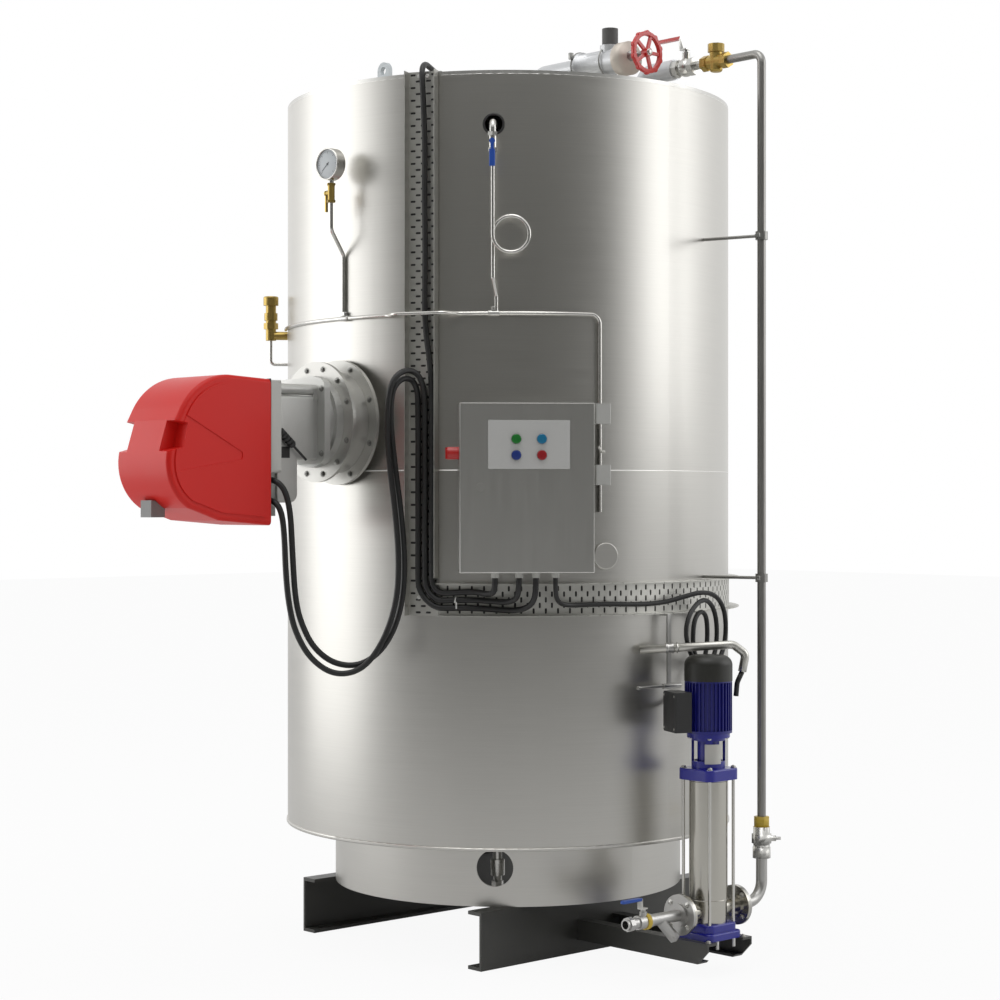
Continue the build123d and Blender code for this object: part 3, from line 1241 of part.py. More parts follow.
def feed_line():
    y = RISER_Y
    z = JACKET_TOP + FEED_RISE
    half = CHECK_VALVE_LENGTH / 2
    check_start = CHECK_VALVE_X - half
    check_end = CHECK_VALVE_X + half
    body = rod((check_start, y, z), (check_end, y, z), CHECK_VALVE_RADIUS)
    nuts = hexagon((check_start, y, z), (check_start + NUT_LENGTH, y, z), NUT_RADIUS)
    nuts = nuts + hexagon((check_end - NUT_LENGTH, y, z), (check_end, y, z), NUT_RADIUS)
    top = z + CHECK_VALVE_RISE
    tower = rod((CHECK_VALVE_X, y, z), (CHECK_VALVE_X, y, top - CHECK_CAP_HEIGHT / 2), CHECK_VALVE_RADIUS)
    cap = hexagon((CHECK_VALVE_X, y, top - CHECK_CAP_HEIGHT), (CHECK_VALVE_X, y, top), CHECK_CAP_RADIUS, 10)
    bowl = rod((CHECK_VALVE_X, y, z - CHECK_BOWL), (CHECK_VALVE_X, y, z), CHECK_VALVE_RADIUS)
    bowl = fillet(bowl.edges().sort_by(Axis.Z)[0], 9)
    save("check_valve", body + nuts + tower + cap + bowl)

    x = FEED_VALVE_X
    start = x - FEED_VALVE_LENGTH / 2
    end = x + FEED_VALVE_LENGTH / 2
    stem_top = z + FEED_STEM_RISE
    valve = hexagon((start, y, z), (start + NUT_LENGTH, y, z), FEED_BALL_RADIUS, 8)
    valve = valve + hexagon((end - NUT_LENGTH, y, z), (end, y, z), FEED_BALL_RADIUS, 8)
    valve = valve + rod((start, y, z), (end, y, z), FEED_VALVE_RADIUS)
    nipple = rod((end, y, z), (check_start - SEAT, y, z), FEED_NIPPLE_RADIUS)
    ball = Pos(x, y, z) * Sphere(FEED_BALL_RADIUS)
    stem = rod((x, y, z), (x, y, stem_top), FEED_STEM_RADIUS)
    boss = rod((x, y, z), (x, y, stem_top - FEED_STEM_RADIUS), FEED_STEM_RADIUS + 5)
    save("feed_valve", valve + nipple + ball + stem + boss)

    low = stem_top + SEAT
    sheet = FEED_LEVER_SHEET
    width = FEED_LEVER_WIDTH / 2
    knee = x - FEED_LEVER_WIDTH
    plate = block((knee, x + width + 2), (y - width - 2, y + width + 2), (low, low + sheet))
    arm = block((knee - sheet, knee), (y - width, y + width), (low, low + FEED_LEVER_STEP))
    grip_bottom = low + FEED_LEVER_STEP - sheet
    grip = block((x - FEED_LEVER, knee), (y - width, y + width), (grip_bottom, grip_bottom + 2 * sheet))
    grip = fillet(grip.edges().filter_by(Axis.Z).group_by(Axis.X)[0], width - 1)
    save("feed_lever", plate + arm + grip)

    turn = FEED_TURN
    roof = roof_level(math.hypot(turn, y))
    feed_end = start - SEAT
    feed = bent([(feed_end, y, z), (turn, y, z), (turn, y, JACKET_TOP)], FEED_PIPE_RADIUS, FEED_PIPE_BEND)
    foot = rod((turn, y, JACKET_TOP), (turn, y, roof + ROOF_FOOT), FEED_PIPE_RADIUS + ROOF_FOOT_FLANGE)
    return feed + foot - roof_cutter()


def steam_line(feed_inlet):
    y = STEAM_Y
    z = ROOF_PEAK + STEAM_RISE
    turn = STEAM_TURN
    start = STOP_VALVE_START
    head_start = start + STOP_VALVE_LENGTH
    end = head_start + STOP_HEAD_LENGTH
    pipe_end = start - SEAT
    pipe = bent([(pipe_end, y, z), (turn, y, z), (turn, y, JACKET_TOP)], STEAM_PIPE_RADIUS, STEAM_PIPE_BEND)
    foot = rod((turn, y, JACKET_TOP), (turn, y, ROOF_PEAK + ROOF_FOOT), STEAM_PIPE_RADIUS + ROOF_FOOT_FLANGE)
    save("roof_pipes", pipe + foot - roof_cutter(), feed_inlet)

    body = rod((start, y, z), (head_start, y, z), STOP_VALVE_RADIUS)
    clamp = rod((start, y, z), (start + STOP_CLAMP, y, z), STOP_CLAMP_RADIUS)
    head = rod((head_start, y, z), (end, y, z), STOP_HEAD_RADIUS)
    head = fillet(head.edges().sort_by(Axis.X)[0], 4)
    stub_top = z + STUB_RISE
    neck = rod((STUB_X, y, z), (STUB_X, y, z + STUB_COLLAR_RISE), STUB_COLLAR_RADIUS)
    level = z + SPINDLE_RISE
    spindle_end = WHEEL_X - HUB_LENGTH / 2 - SEAT
    spindle = rod((end, y, level), (spindle_end, y, level), SPINDLE_RADIUS)
    nut = hexagon((end, y, level), (end + SPINDLE_NUT, y, level), SPINDLE_NUT_RADIUS)
    bore = rod((STUB_X, y, z), (STUB_X, y, stub_top), STUB_BORE)
    save("stop_valve", body + clamp + head + neck + spindle + nut - bore)

    stub = rod((STUB_X, y, z + STUB_COLLAR_RISE + SEAT), (STUB_X, y, stub_top), STUB_RADIUS, STUB_BORE)
    save("steam_outlet", stub)


def handwheel():
    outline = Circle(WHEEL_RADIUS + WHEEL_RIM)
    for index in range(WHEEL_LOBES):
        place = direction(360 / WHEEL_LOBES * index) * (WHEEL_RADIUS + 1)
        outline = outline + Pos(place.X, place.Y) * Circle(WHEEL_LOBE_RADIUS)
    outline = outline - Circle(WHEEL_RADIUS - WHEEL_RIM)
    wheel = extrude(outline, amount=WHEEL_RIM, both=True)
    wheel = fillet(wheel.edges().filter_by(GeomType.CIRCLE), WHEEL_EDGE)
    spoke = Pos(WHEEL_RADIUS / 2, 0, 0) * Box(WHEEL_RADIUS, SPOKE_WIDTH, SPOKE_THICKNESS)
    for index in range(WHEEL_SPOKES):
        wheel = wheel + Rot(0, 0, 360 / WHEEL_SPOKES * (index + 0.25)) * spoke
    wheel = wheel + Cylinder(HUB_RADIUS, HUB_LENGTH)
    centre = (WHEEL_X, STEAM_Y, ROOF_PEAK + STEAM_RISE + SPINDLE_RISE)
    save("handwheel", Location(centre, (0, 90, 0)) * wheel)


def overflow():
    pipe = bent(OVERFLOW_ROUTE, OVERFLOW_RADIUS, OVERFLOW_BEND)
    hose = bent(HOSE_ROUTE, OVERFLOW_HOSE_RADIUS, 2 * OVERFLOW_BEND)
    save("overflow_pipe", pipe, hose)

    place = station(STRAP_AZIMUTH)
    half = STRAP_WIDTH / 2
    top = TRAY_BOTTOM - SEAT
    outer = STRAP_PLACE + STRAP_SHEET
    strap = block((STRAP_PLACE, outer), (-half, half), (top - STRAP_LENGTH, top))
    foot = block((STRAP_PLACE - STRAP_FOOT, outer), (-half, half), (top - STRAP_SHEET, top))
    strap = place * (strap + foot)

    start = Vector(*OVERFLOW_ROUTE[0])
    along = Vector(*OVERFLOW_ROUTE[1]) - start
    held = start + along * SADDLE_PLACE
    back = spot(outer - 1, STRAP_AZIMUTH, held.Z)
    passage = rod(start, start + along, OVERFLOW_RADIUS + SEAT)
    clips = []
    unit = along.normalized()
    for side in (-1, 1):
        middle = held + unit * (side * CLIP_SPREAD)
        clips.append(rod(
            middle - unit * (CLIP_WIDTH / 2),
            middle + unit * (CLIP_WIDTH / 2),
            OVERFLOW_RADIUS + CLIP_WALL,
        ))
    saddle = rod(back, held, SADDLE_RADIUS)
    bridge = rod(held - unit * CLIP_SPREAD, held + unit * CLIP_SPREAD, OVERFLOW_RADIUS + CLIP_WALL / 2)
    bracket = strap + (saddle + bridge + clips[0] + clips[1] - passage)

    x = outer + SAMPLER_RADIUS + SEAT
    z = top - SAMPLER_DROP
    end = -SAMPLER_LENGTH + SAMPLER_REACH
    body = rod((x, SAMPLER_REACH, z), (x, end, z), SAMPLER_RADIUS)
    probe = rod((x, end, z), (x, end - PROBE_LENGTH, z), PROBE_RADIUS)
    tip = rod((x, end - PROBE_LENGTH, z), (x, end - PROBE_LENGTH - PROBE_TIP_RADIUS, z), PROBE_TIP_RADIUS)
    save("overflow_bracket", bracket, place * (body + probe + tip))


def cable(name, route, radius):
    """Round cable whose bends are as large as the two runs at each corner allow."""
    points = [spot(*corner) for corner in route]
    radii = []
    for before, corner, after in zip(points, points[1:], points[2:]):
        turn = math.radians((corner - before).get_angle(after - corner))
        run = min((corner - before).length, (after - corner).length)
        radii.append(ARC_SHARE * run / math.tan(turn / 2))
    path = FilletPolyline(*points, radius=radii)
    tube = sweep((path ^ 0) * Circle(radius), path=path)
    print(name, "length", round(path.length), "bend radii", [round(value) for value in radii])
    save(name, tube)


def cables():
    cable("burner_cable_inner", BURNER_CABLE_INNER, CABLE_RADIUS)
    cable("burner_cable_outer", BURNER_CABLE_OUTER, CABLE_RADIUS)
    cable("roof_cable", ROOF_CABLE, CABLE_RADIUS)
    cable("pump_cable", PUMP_CABLE, PUMP_CABLE_RADIUS)


base_rails()
pump_rails()
boiler_shell()
roof_fittings()
drain()
vertical_tray()
horizontal_tray()
cabinet()
ring_tube()
pressure_switches()
inspection_cap()
save("impulse_tubes", pressure_gauge(), syphon(), safety_valve())
burner()
pump()
suction_line()
discharge_line()
riser_clamps()
steam_line(feed_line())
handwheel()
overflow()
cables()
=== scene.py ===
import math

import bpy
from mathutils import Matrix, Vector


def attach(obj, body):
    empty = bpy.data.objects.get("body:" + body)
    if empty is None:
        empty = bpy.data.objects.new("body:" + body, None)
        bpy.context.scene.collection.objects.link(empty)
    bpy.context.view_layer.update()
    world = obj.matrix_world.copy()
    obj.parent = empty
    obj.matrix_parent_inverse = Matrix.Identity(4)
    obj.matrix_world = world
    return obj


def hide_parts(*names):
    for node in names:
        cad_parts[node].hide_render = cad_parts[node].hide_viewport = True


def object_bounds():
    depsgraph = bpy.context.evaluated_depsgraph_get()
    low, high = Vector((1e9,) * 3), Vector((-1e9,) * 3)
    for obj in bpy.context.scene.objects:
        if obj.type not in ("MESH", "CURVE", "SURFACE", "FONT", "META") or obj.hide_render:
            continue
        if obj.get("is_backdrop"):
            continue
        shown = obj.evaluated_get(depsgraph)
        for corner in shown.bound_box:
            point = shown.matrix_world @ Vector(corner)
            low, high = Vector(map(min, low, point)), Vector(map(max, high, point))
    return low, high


bl_info = {
    "name": "Vertical Steam Boiler",
    "version": (1, 0, 0),
    "blender": (4, 5, 0),
    "location": "View3D > Sidebar > Boiler",
    "description": "Dresses the packed boiler with finishes, fasteners, cables and perforated trays",
    "category": "Object",
}

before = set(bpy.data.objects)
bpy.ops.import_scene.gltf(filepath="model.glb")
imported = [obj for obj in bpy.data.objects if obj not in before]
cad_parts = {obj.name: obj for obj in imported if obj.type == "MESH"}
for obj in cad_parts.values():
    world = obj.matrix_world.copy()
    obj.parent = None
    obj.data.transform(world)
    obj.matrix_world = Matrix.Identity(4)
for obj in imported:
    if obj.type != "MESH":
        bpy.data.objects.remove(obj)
cad_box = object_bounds()

MM = 0.001
TRAY_RADIUS = 740.3 * MM
TRAY_SHEET = 2.5 * MM
TRAY_DEPTH = 35 * MM
TRAY_WIDTH = 100 * MM
# Thickness of the near-black strip behind each tray sheet, a painted shadow that makes the slots read dark
SHADE_STRIP = 0.4 * MM
BROKEN_EDGE = 0.1 * MM
TRAY_BOTTOM = 1094 * MM
TRAY_TOP = 2760 * MM
TRAY_AZIMUTH = -63.4
BURNER_X = 33 * MM
BURNER_HEIGHT = 1690 * MM
CABINET_AZIMUTH = -39.4
PUMP_X = 914 * MM
PUMP_Y = -10 * MM
ROOF_PIPE_HEIGHT = 2870 * MM


# Placing


def azimuth_matrix(azimuth):
    """Turn about the boiler's axis: local X points outwards at the azimuth."""
    return Matrix.Rotation(math.radians(azimuth), 4, "Z")


def polar(radius, azimuth, height):
    angle = math.radians(azimuth)
    return Vector((radius * math.cos(angle), radius * math.sin(angle), height))


def aim(direction):
    """Turn that brings local Z onto a direction."""
    return Vector(direction).to_track_quat("Z", "Y").to_matrix().to_4x4()


def nothing_selected():
    if bpy.context.object and bpy.context.object.mode != "OBJECT":
        bpy.ops.object.mode_set(mode="OBJECT")
    bpy.ops.object.select_all(action="DESELECT")


def only(piece):
    nothing_selected()
    piece.select_set(True)
    bpy.context.view_layer.objects.active = piece


def settled(piece, matrix=None):
    """Moves a piece to its place and writes that place into its mesh."""
    if matrix is not None:
        piece.matrix_world = matrix @ piece.matrix_world
    only(piece)
    bpy.ops.object.transform_apply(location=True, rotation=True, scale=True)
    return piece


def applied(piece, kind, **settings):
    only(piece)
    modifier = piece.modifiers.new(kind.title(), kind)
    for key, value in settings.items():
        setattr(modifier, key, value)
    bpy.ops.object.modifier_apply(modifier=modifier.name)
    return piece


def joined(name, pieces):
    nothing_selected()
    for piece in pieces:
        piece.select_set(True)
    bpy.context.view_layer.objects.active = pieces[0]
    if len(pieces) > 1:
        bpy.ops.object.join()
    piece = bpy.context.object
    piece.name = name
    piece.data.name = name
    return piece


def copied(model, matrix):
    piece = model.copy()
    piece.data = model.data.copy()
    bpy.context.scene.collection.objects.link(piece)
    piece.matrix_world = matrix
    return piece


def spread(name, model, matrices):
    """One mesh from copies of a model at several places; the model goes."""
    pieces = [copied(model, matrix) for matrix in matrices]
    bpy.data.objects.remove(model)
    piece = joined(name, pieces)
    return settled(piece)


def finished(piece, finish, body="boiler", smooth=35):
    """Smooth shading, one finish and the body that carries the piece."""
    only(piece)
    if smooth:
        bpy.ops.object.shade_smooth_by_angle(angle=math.radians(smooth))
    piece.data.materials.clear()
    piece.data.materials.append(finish)
    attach(piece, body)
    return piece


# Primitives


def block(centre, size, bevel=BROKEN_EDGE, segments=2):
    """Box with broken edges; bevel 0 keeps them sharp for what is cut or joined later."""
    nothing_selected()
    bpy.ops.mesh.primitive_cube_add(size=1, location=centre)
    piece = bpy.context.object
    piece.scale = size
    settled(piece)
    if bevel:
        applied(piece, "BEVEL", width=bevel, segments=segments, limit_method="ANGLE")
    return piece


def disc(centre, radius, depth, direction=(0, 0, 1), sides=48, bevel=BROKEN_EDGE, segments=2):
    """Round or hexagonal blank along a direction, its rims broken or rounded."""
    nothing_selected()
    bpy.ops.mesh.primitive_cylinder_add(vertices=sides, radius=radius, depth=depth)
    piece = bpy.context.object
    settled(piece, Matrix.Translation(centre) @ aim(direction))
    if bevel:
        applied(piece, "BEVEL", width=bevel, segments=segments, limit_method="ANGLE")
    return piece


def hoop(centre, radius, thickness, direction=(0, 0, 1), steps=72, sides=12):
    """Ring of round wire: its section spun once about the ring's axis."""
    nothing_selected()
    bpy.ops.mesh.primitive_circle_add(
        vertices=sides, radius=thickness, location=(radius, 0, 0), rotation=(math.pi / 2, 0, 0)
    )
    piece = settled(bpy.context.object)
    bpy.ops.object.mode_set(mode="EDIT")
    bpy.ops.mesh.select_all(action="SELECT")
    bpy.ops.mesh.spin(steps=steps, angle=math.tau, center=(0, 0, 0), axis=(0, 0, 1))
    bpy.ops.mesh.select_all(action="SELECT")
    bpy.ops.mesh.remove_doubles(threshold=thickness / 50)
    bpy.ops.mesh.normals_make_consistent(inside=False)
    bpy.ops.object.mode_set(mode="OBJECT")
    return settled(piece, Matrix.Translation(centre) @ aim(direction))


def sheet_arc(centre, radius, heights, azimuths, thickness=0.0):
    """Upright piece of a cylinder between two heights and two azimuths less than half a turn apart."""
    nothing_selected()
    low, high = heights
    bpy.ops.mesh.primitive_cylinder_add(
        vertices=180,
        radius=radius,
        depth=high - low,
        end_fill_type="NOTHING",
        location=(*centre, (low + high) / 2),
    )
    piece = bpy.context.object
    bpy.ops.object.transform_apply(location=True, rotation=True, scale=True)
    bpy.ops.object.mode_set(mode="EDIT")
    for azimuth, side in zip(azimuths, (-1, 1)):
        angle = math.radians(azimuth)
        bpy.ops.mesh.select_all(action="SELECT")
        bpy.ops.mesh.bisect(
            plane_co=(*centre, 0),
            plane_no=(-side * math.sin(angle), side * math.cos(angle), 0),
            clear_outer=True,
        )
    bpy.ops.object.mode_set(mode="OBJECT")
    if thickness:
        applied(piece, "SOLIDIFY", thickness=thickness)
    return piece


def bolt_model(size, washer=True):
    """Hexagon head with a domed crown on a washer, its seat at the origin, pointing up."""
    head = disc((0, 0, 0.42 * size), 0.95 * size, 0.6 * size, sides=6, bevel=0.08 * size)
    crown = disc((0, 0, 0.78 * size), 0.42 * size, 0.3 * size, sides=12, bevel=0.12 * size)
    parts = [head, crown]
    if washer:
        parts.append(disc((0, 0, 0.06 * size), 1.25 * size, 0.14 * size, sides=24, bevel=0.03 * size))
    return joined("bolt", parts)


def screw_model(size):
    """Pan head, its crown rounded, the seat at the origin."""
    head = disc((0, 0, 0.25 * size), size, 0.5 * size, sides=24, bevel=0.2 * size, segments=3)
    return joined("screw", [head])


def circle_places(centre, radius, count, direction, start=0.0):
    """Matrices on a circle round a direction, their local Z along it."""
    turn = aim(direction)
    places = []
    for index in range(count):
        angle = math.radians(start + 360 / count * index)
        offset = Vector((radius * math.cos(angle), radius * math.sin(angle), 0))
        places.append(Matrix.Translation(Vector(centre) + turn.to_3x3() @ offset) @ turn)
    return places


def corners(half):
    """Four corners of a square round the origin."""
    return [(x, y) for x in (-half, half) for y in (-half, half)]


# Finishes


MID_GREY = (0.5, 0.5, 0.5, 1)
# Noise stretched up the sheet: broad upright bands of tone, partly random and partly painted reflection bands
SHEET_TONE_AND_PAINTED_BANDS = (3.1, 3.1, 0.35)
COAT_ROUGHNESS = 0.12
BUMP_STRENGTH = 0.35


def group(name, inputs, outputs):
    """Empty node group with its sockets; gives back the tree and its two ends."""
    tree = bpy.data.node_groups.new(name, "ShaderNodeTree")
    for label, kind, value in inputs:
        socket = tree.interface.new_socket(name=label, in_out="INPUT", socket_type=kind)
        socket.default_value = value
    for label, kind in outputs:
        tree.interface.new_socket(name=label, in_out="OUTPUT", socket_type=kind)
    return tree, tree.nodes.new("NodeGroupInput"), tree.nodes.new("NodeGroupOutput")


def node(tree, kind, links=(), **settings):
    """Adds a node, sets its properties and joins (input, source socket) pairs."""
    made = tree.nodes.new(kind)
    for key, value in settings.items():
        setattr(made, key, value)
    for entry, source in links:
        if isinstance(source, bpy.types.NodeSocket):
            tree.links.new(source, made.inputs[entry])
        else:
            made.inputs[entry].default_value = source
    return made


def calculated(tree, operation, *values):
    """Output of a Math node over numbers and sockets."""
    return node(tree, "ShaderNodeMath", enumerate(values), operation=operation).outputs[0]


def multiplied(tree, vector, factors):
    """Vector times another, part by part."""
    return node(tree, "ShaderNodeVectorMath", [(0, vector), (1, factors)], operation="MULTIPLY").outputs[0]


def noise(tree, vector, scale, detail):
    made = node(tree, "ShaderNodeTexNoise", [("Vector", vector), ("Scale", scale), ("Detail", detail)])
    return made.outputs["Fac"]


def blended(tree, share, first, second):
    return node(tree, "ShaderNodeMix", [(0, share), (2, first), (3, second)]).outputs[0]


def surface_group(name, roughness, special, drift, roughness_spread):
    """Empty surface group; special is the input that only this group has."""
    return group(
        name,
        [
            ("Color", "NodeSocketColor", MID_GREY),
            ("Roughness", "NodeSocketFloat", roughness),
            special,
            ("Drift", "NodeSocketFloat", drift),
            ("Roughness Spread", "NodeSocketFloat", roughness_spread),
        ],
        [("Color", "NodeSocketColor"), ("Roughness", "NodeSocketFloat"), ("Height", "NodeSocketFloat")],
    )


def surface_ends(tree, start, end, tone, gloss, height):
    """Joins colour, roughness and height of a surface group to factors between 0 and 1."""
    centred = calculated(tree, "SUBTRACT", tone, 0.5)
    scaled = calculated(tree, "MULTIPLY", centred, start.outputs["Drift"])
    gain = calculated(tree, "ADD", scaled, 1.0)
    colour = node(tree, "ShaderNodeVectorMath", [(0, start.outputs["Color"]), (3, gain)], operation="SCALE")
    centred = calculated(tree, "SUBTRACT", gloss, 0.5)
    spread_by = start.outputs["Roughness Spread"]
    roughness = calculated(tree, "MULTIPLY_ADD", centred, spread_by, start.outputs["Roughness"])
    tree.links.new(colour.outputs[0], end.inputs["Color"])
    tree.links.new(roughness, end.inputs["Roughness"])
    tree.links.new(height, end.inputs["Height"])


def cast_group():
    """Paint or casting: slow colour drift, fine grain and a roughness that follows them."""
    grain_scale = ("Grain Scale", "NodeSocketFloat", 900.0)
    tree, start, end = surface_group("Cast Surface", 0.4, grain_scale, 0.15, 0.2)
    place = node(tree, "ShaderNodeTexCoord").outputs["Object"]
    slow = noise(tree, place, 7.0, 4.0)
    grain = noise(tree, place, start.outputs["Grain Scale"], 3.0)
    mixed = blended(tree, 0.35, slow, grain)
    surface_ends(tree, start, end, mixed, mixed, grain)


def brushed_group():
    """Rolled sheet: fine scratches across Z by default, with broad upright bands of tone, partly random sheet
    tone and partly painted reflection bands.
    """
    grain = ("Grain", "NodeSocketVector", (6.0, 6.0, 900.0))
    tree, start, end = surface_group("Brushed Sheet", 0.3, grain, 0.12, 0.18)
    place = node(tree, "ShaderNodeTexCoord").outputs["Object"]
    scratch = noise(tree, multiplied(tree, place, start.outputs["Grain"]), 1.0, 5.0)
    tone_and_painted_bands = noise(tree, multiplied(tree, place, SHEET_TONE_AND_PAINTED_BANDS), 1.0, 2.0)
    surface_ends(tree, start, end, blended(tree, 0.5, scratch, tone_and_painted_bands), scratch, scratch)


def finish(name, colour, roughness, metallic=0.0, bump=0.0002, coat=0.0, brushed=None, **sockets):
    """Material over one of the two surface groups; sockets go to the shader or to the group."""
    material = bpy.data.materials.new(name)
    material.use_nodes = True
    tree = material.node_tree
    shader = tree.nodes["Principled BSDF"]
    surface = tree.nodes.new("ShaderNodeGroup")
    surface.node_tree = bpy.data.node_groups["Brushed Sheet" if brushed else "Cast Surface"]
    surface.inputs["Color"].default_value = (*colour, 1)
    surface.inputs["Roughness"].default_value = roughness
    if brushed:
        surface.inputs["Grain"].default_value = brushed
    shader.inputs["Metallic"].default_value = metallic
    shader.inputs["Coat Weight"].default_value = coat
    shader.inputs["Coat Roughness"].default_value = COAT_ROUGHNESS
    for key, value in sockets.items():
        label = key.replace("_", " ").title().replace("Ior", "IOR")
        target = surface if label in surface.inputs else shader
        target.inputs[label].default_value = value
    tree.links.new(surface.outputs["Color"], shader.inputs["Base Color"])
    tree.links.new(surface.outputs["Roughness"], shader.inputs["Roughness"])
    height = tree.nodes.new("ShaderNodeBump")
    height.inputs["Strength"].default_value = BUMP_STRENGTH
    height.inputs["Distance"].default_value = bump
    tree.links.new(surface.outputs["Height"], height.inputs["Height"])
    tree.links.new(height.outputs["Normal"], shader.inputs["Normal"])
    return material


# Colour, roughness, metallic and what else differs from the usual of each finish
FINISHES = {
    "jacket": (
        (0.57, 0.56, 0.53),
        0.33,
        1.0,
        dict(brushed=(5, 5, 520), anisotropic=0.55, drift=0.27, roughness_spread=0.12, bump=0.00009),
    ),
    "galvanised": ((0.60, 0.61, 0.62), 0.42, 0.7, dict(drift=0.3, grain_scale=180.0, bump=0.0006)),
    "cast stainless": ((0.47, 0.465, 0.45), 0.36, 1.0, dict(drift=0.25, grain_scale=400.0, bump=0.0006)),
    "bonnet": ((0.66, 0.60, 0.53), 0.45, 0.3, dict(drift=0.12)),
    "bracket": ((0.60, 0.59, 0.55), 0.45, 0.4, dict(drift=0.1)),
    "lug": ((0.56, 0.60, 0.62), 0.45, 0.1, dict(drift=0.15)),
    # Steel made far paler than the jacket, so beads and door folds read as painted highlights
    "painted highlight edge": ((0.86, 0.85, 0.82), 0.3, 0.9, dict(drift=0.08)),
    "roof": ((0.60, 0.595, 0.57), 0.34, 1.0, dict(brushed=(220, 6, 6))),
    "rails": ((0.060, 0.060, 0.055), 0.42, 0.0, dict(coat=0.15, bump=0.0006, drift=0.5, grain_scale=300.0)),
    "tray": ((0.58, 0.575, 0.54), 0.42, 1.0, dict(brushed=(30, 30, 60), drift=0.2)),
    "cabinet": ((0.57, 0.565, 0.54), 0.33, 1.0, dict(brushed=(420, 420, 5), drift=0.1)),
    "panel": ((0.60, 0.60, 0.585), 0.45, 0.0, dict(drift=0.05)),
    "steel": ((0.62, 0.61, 0.58), 0.24, 1.0, dict(drift=0.12)),
    "pipe": ((0.31, 0.305, 0.29), 0.36, 1.0, dict(drift=0.3, grain_scale=260.0, bump=0.0005)),
    "nickel": ((0.55, 0.545, 0.52), 0.27, 1.0, dict(drift=0.2)),
    "bolt steel": ((0.30, 0.30, 0.285), 0.4, 1.0, dict(drift=0.2)),
    "zinc": ((0.63, 0.62, 0.58), 0.38, 1.0, dict(drift=0.25)),
    "brass": ((0.46, 0.33, 0.10), 0.36, 1.0, dict(drift=0.35, grain_scale=500.0, bump=0.0006)),
    "red cover": ((0.74, 0.018, 0.013), 0.40, 0.0, dict(drift=0.08, specular_ior_level=0.32)),
    "red paint": ((0.60, 0.02, 0.018), 0.32, 0.0, dict(coat=0.3, drift=0.15, bump=0.0005)),
    # Near-black: painted shadow behind the tray slots and in the damper slot, and the real dark joint behind
    # the burner cover
    "painted shade and dark joint": ((0.03, 0.028, 0.028), 0.6, 0.0, dict(drift=0.3)),
    "aluminium": ((0.55, 0.55, 0.53), 0.46, 0.85, dict(drift=0.3, grain_scale=420.0, bump=0.0012)),
    "flange": ((0.50, 0.495, 0.47), 0.42, 0.9, dict(drift=0.2, bump=0.0008, grain_scale=350.0)),
    "backplate": ((0.60, 0.595, 0.565), 0.5, 0.0, dict(drift=0.1)),
    "latch": ((0.26, 0.26, 0.255), 0.5, 0.0, dict(drift=0.1)),
    "blue paint": ((0.012, 0.014, 0.30), 0.30, 0.0, dict(coat=0.4, drift=0.2, bump=0.0004)),
    "motor blue": ((0.010, 0.012, 0.20), 0.36, 0.0, dict(coat=0.25, drift=0.25, bump=0.0006)),
    "barrel": ((0.50, 0.485, 0.44), 0.20, 1.0, dict(brushed=(6, 6, 500), anisotropic=0.4)),
    "fan black": ((0.022, 0.022, 0.018), 0.42, 0.0, dict(drift=0.3)),
    "terminal": ((0.03, 0.03, 0.03), 0.5, 0.0, dict(drift=0.2)),
    "blue grip": ((0.02, 0.09, 0.45), 0.38, 0.0, dict(coat=0.2, drift=0.12)),
    "yellow": ((0.62, 0.44, 0.05), 0.45, 0.0, dict(drift=0.25)),
    "rubber": ((0.016, 0.016, 0.016), 0.46, 0.0, dict(drift=0.4, grain_scale=700.0, bump=0.0004)),
    "dark primer": ((0.09, 0.09, 0.088), 0.55, 0.0, dict(drift=0.3, bump=0.0008)),
    "gland": ((0.55, 0.55, 0.52), 0.5, 0.0, dict(drift=0.1)),
    "switch grey": ((0.50, 0.50, 0.48), 0.5, 0.3, dict(drift=0.12)),
    "dial": ((0.60, 0.64, 0.66), 0.4, 0.0, dict(drift=0.03)),
    "ink": ((0.14, 0.15, 0.16), 0.5, 0.0, dict(drift=0.1)),
    "tie": ((0.78, 0.78, 0.75), 0.4, 0.0, dict(drift=0.05)),
    "lamp green": ((0.015, 0.20, 0.03), 0.22, 0.0, dict(coat=0.2, drift=0.1)),
    "lamp cyan": ((0.012, 0.19, 0.36), 0.22, 0.0, dict(coat=0.2, drift=0.1)),
    "lamp blue": ((0.02, 0.045, 0.24), 0.22, 0.0, dict(coat=0.2, drift=0.1)),
    "lamp red": ((0.36, 0.015, 0.02), 0.22, 0.0, dict(coat=0.2, drift=0.1)),
}


def look(name):
    """The named finish, made when it is first asked for."""
    if name in bpy.data.materials:
        return bpy.data.materials[name]
    colour, roughness, metallic, more = FINISHES[name]
    return finish(name, colour, roughness, metallic, **more)


def dressed(names, finish_name):
    """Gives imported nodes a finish; their meshes stay as they are."""
    for name in names:
        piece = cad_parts[name]
        for slot in piece.material_slots:
            slot.material = look(finish_name)
        if not piece.material_slots:
            piece.data.materials.append(look(finish_name))


def zoned(node_name, finishes, body="boiler"):
    """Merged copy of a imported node; each face takes the first finish whose rule holds for its centre."""
    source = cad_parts[node_name]
    piece = copied(source, source.matrix_world.copy())
    piece.name = node_name + "_zoned"
    settled(piece)
    bpy.ops.object.mode_set(mode="EDIT")
    bpy.ops.mesh.select_all(action="SELECT")
    bpy.ops.mesh.remove_doubles(threshold=0.00002)
    bpy.ops.object.mode_set(mode="OBJECT")
    bpy.ops.object.shade_smooth_by_angle(angle=math.radians(35))
    piece.data.materials.clear()
    for name, rule in finishes:
        piece.data.materials.append(look(name))
    for face in piece.data.polygons:
        fits = (index for index, (name, rule) in enumerate(finishes) if rule(face.center))
        face.material_index = next(fits)
    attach(piece, body)
    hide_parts(node_name)


def anywhere(centre):
    return True


# Sizes and colours a user would change


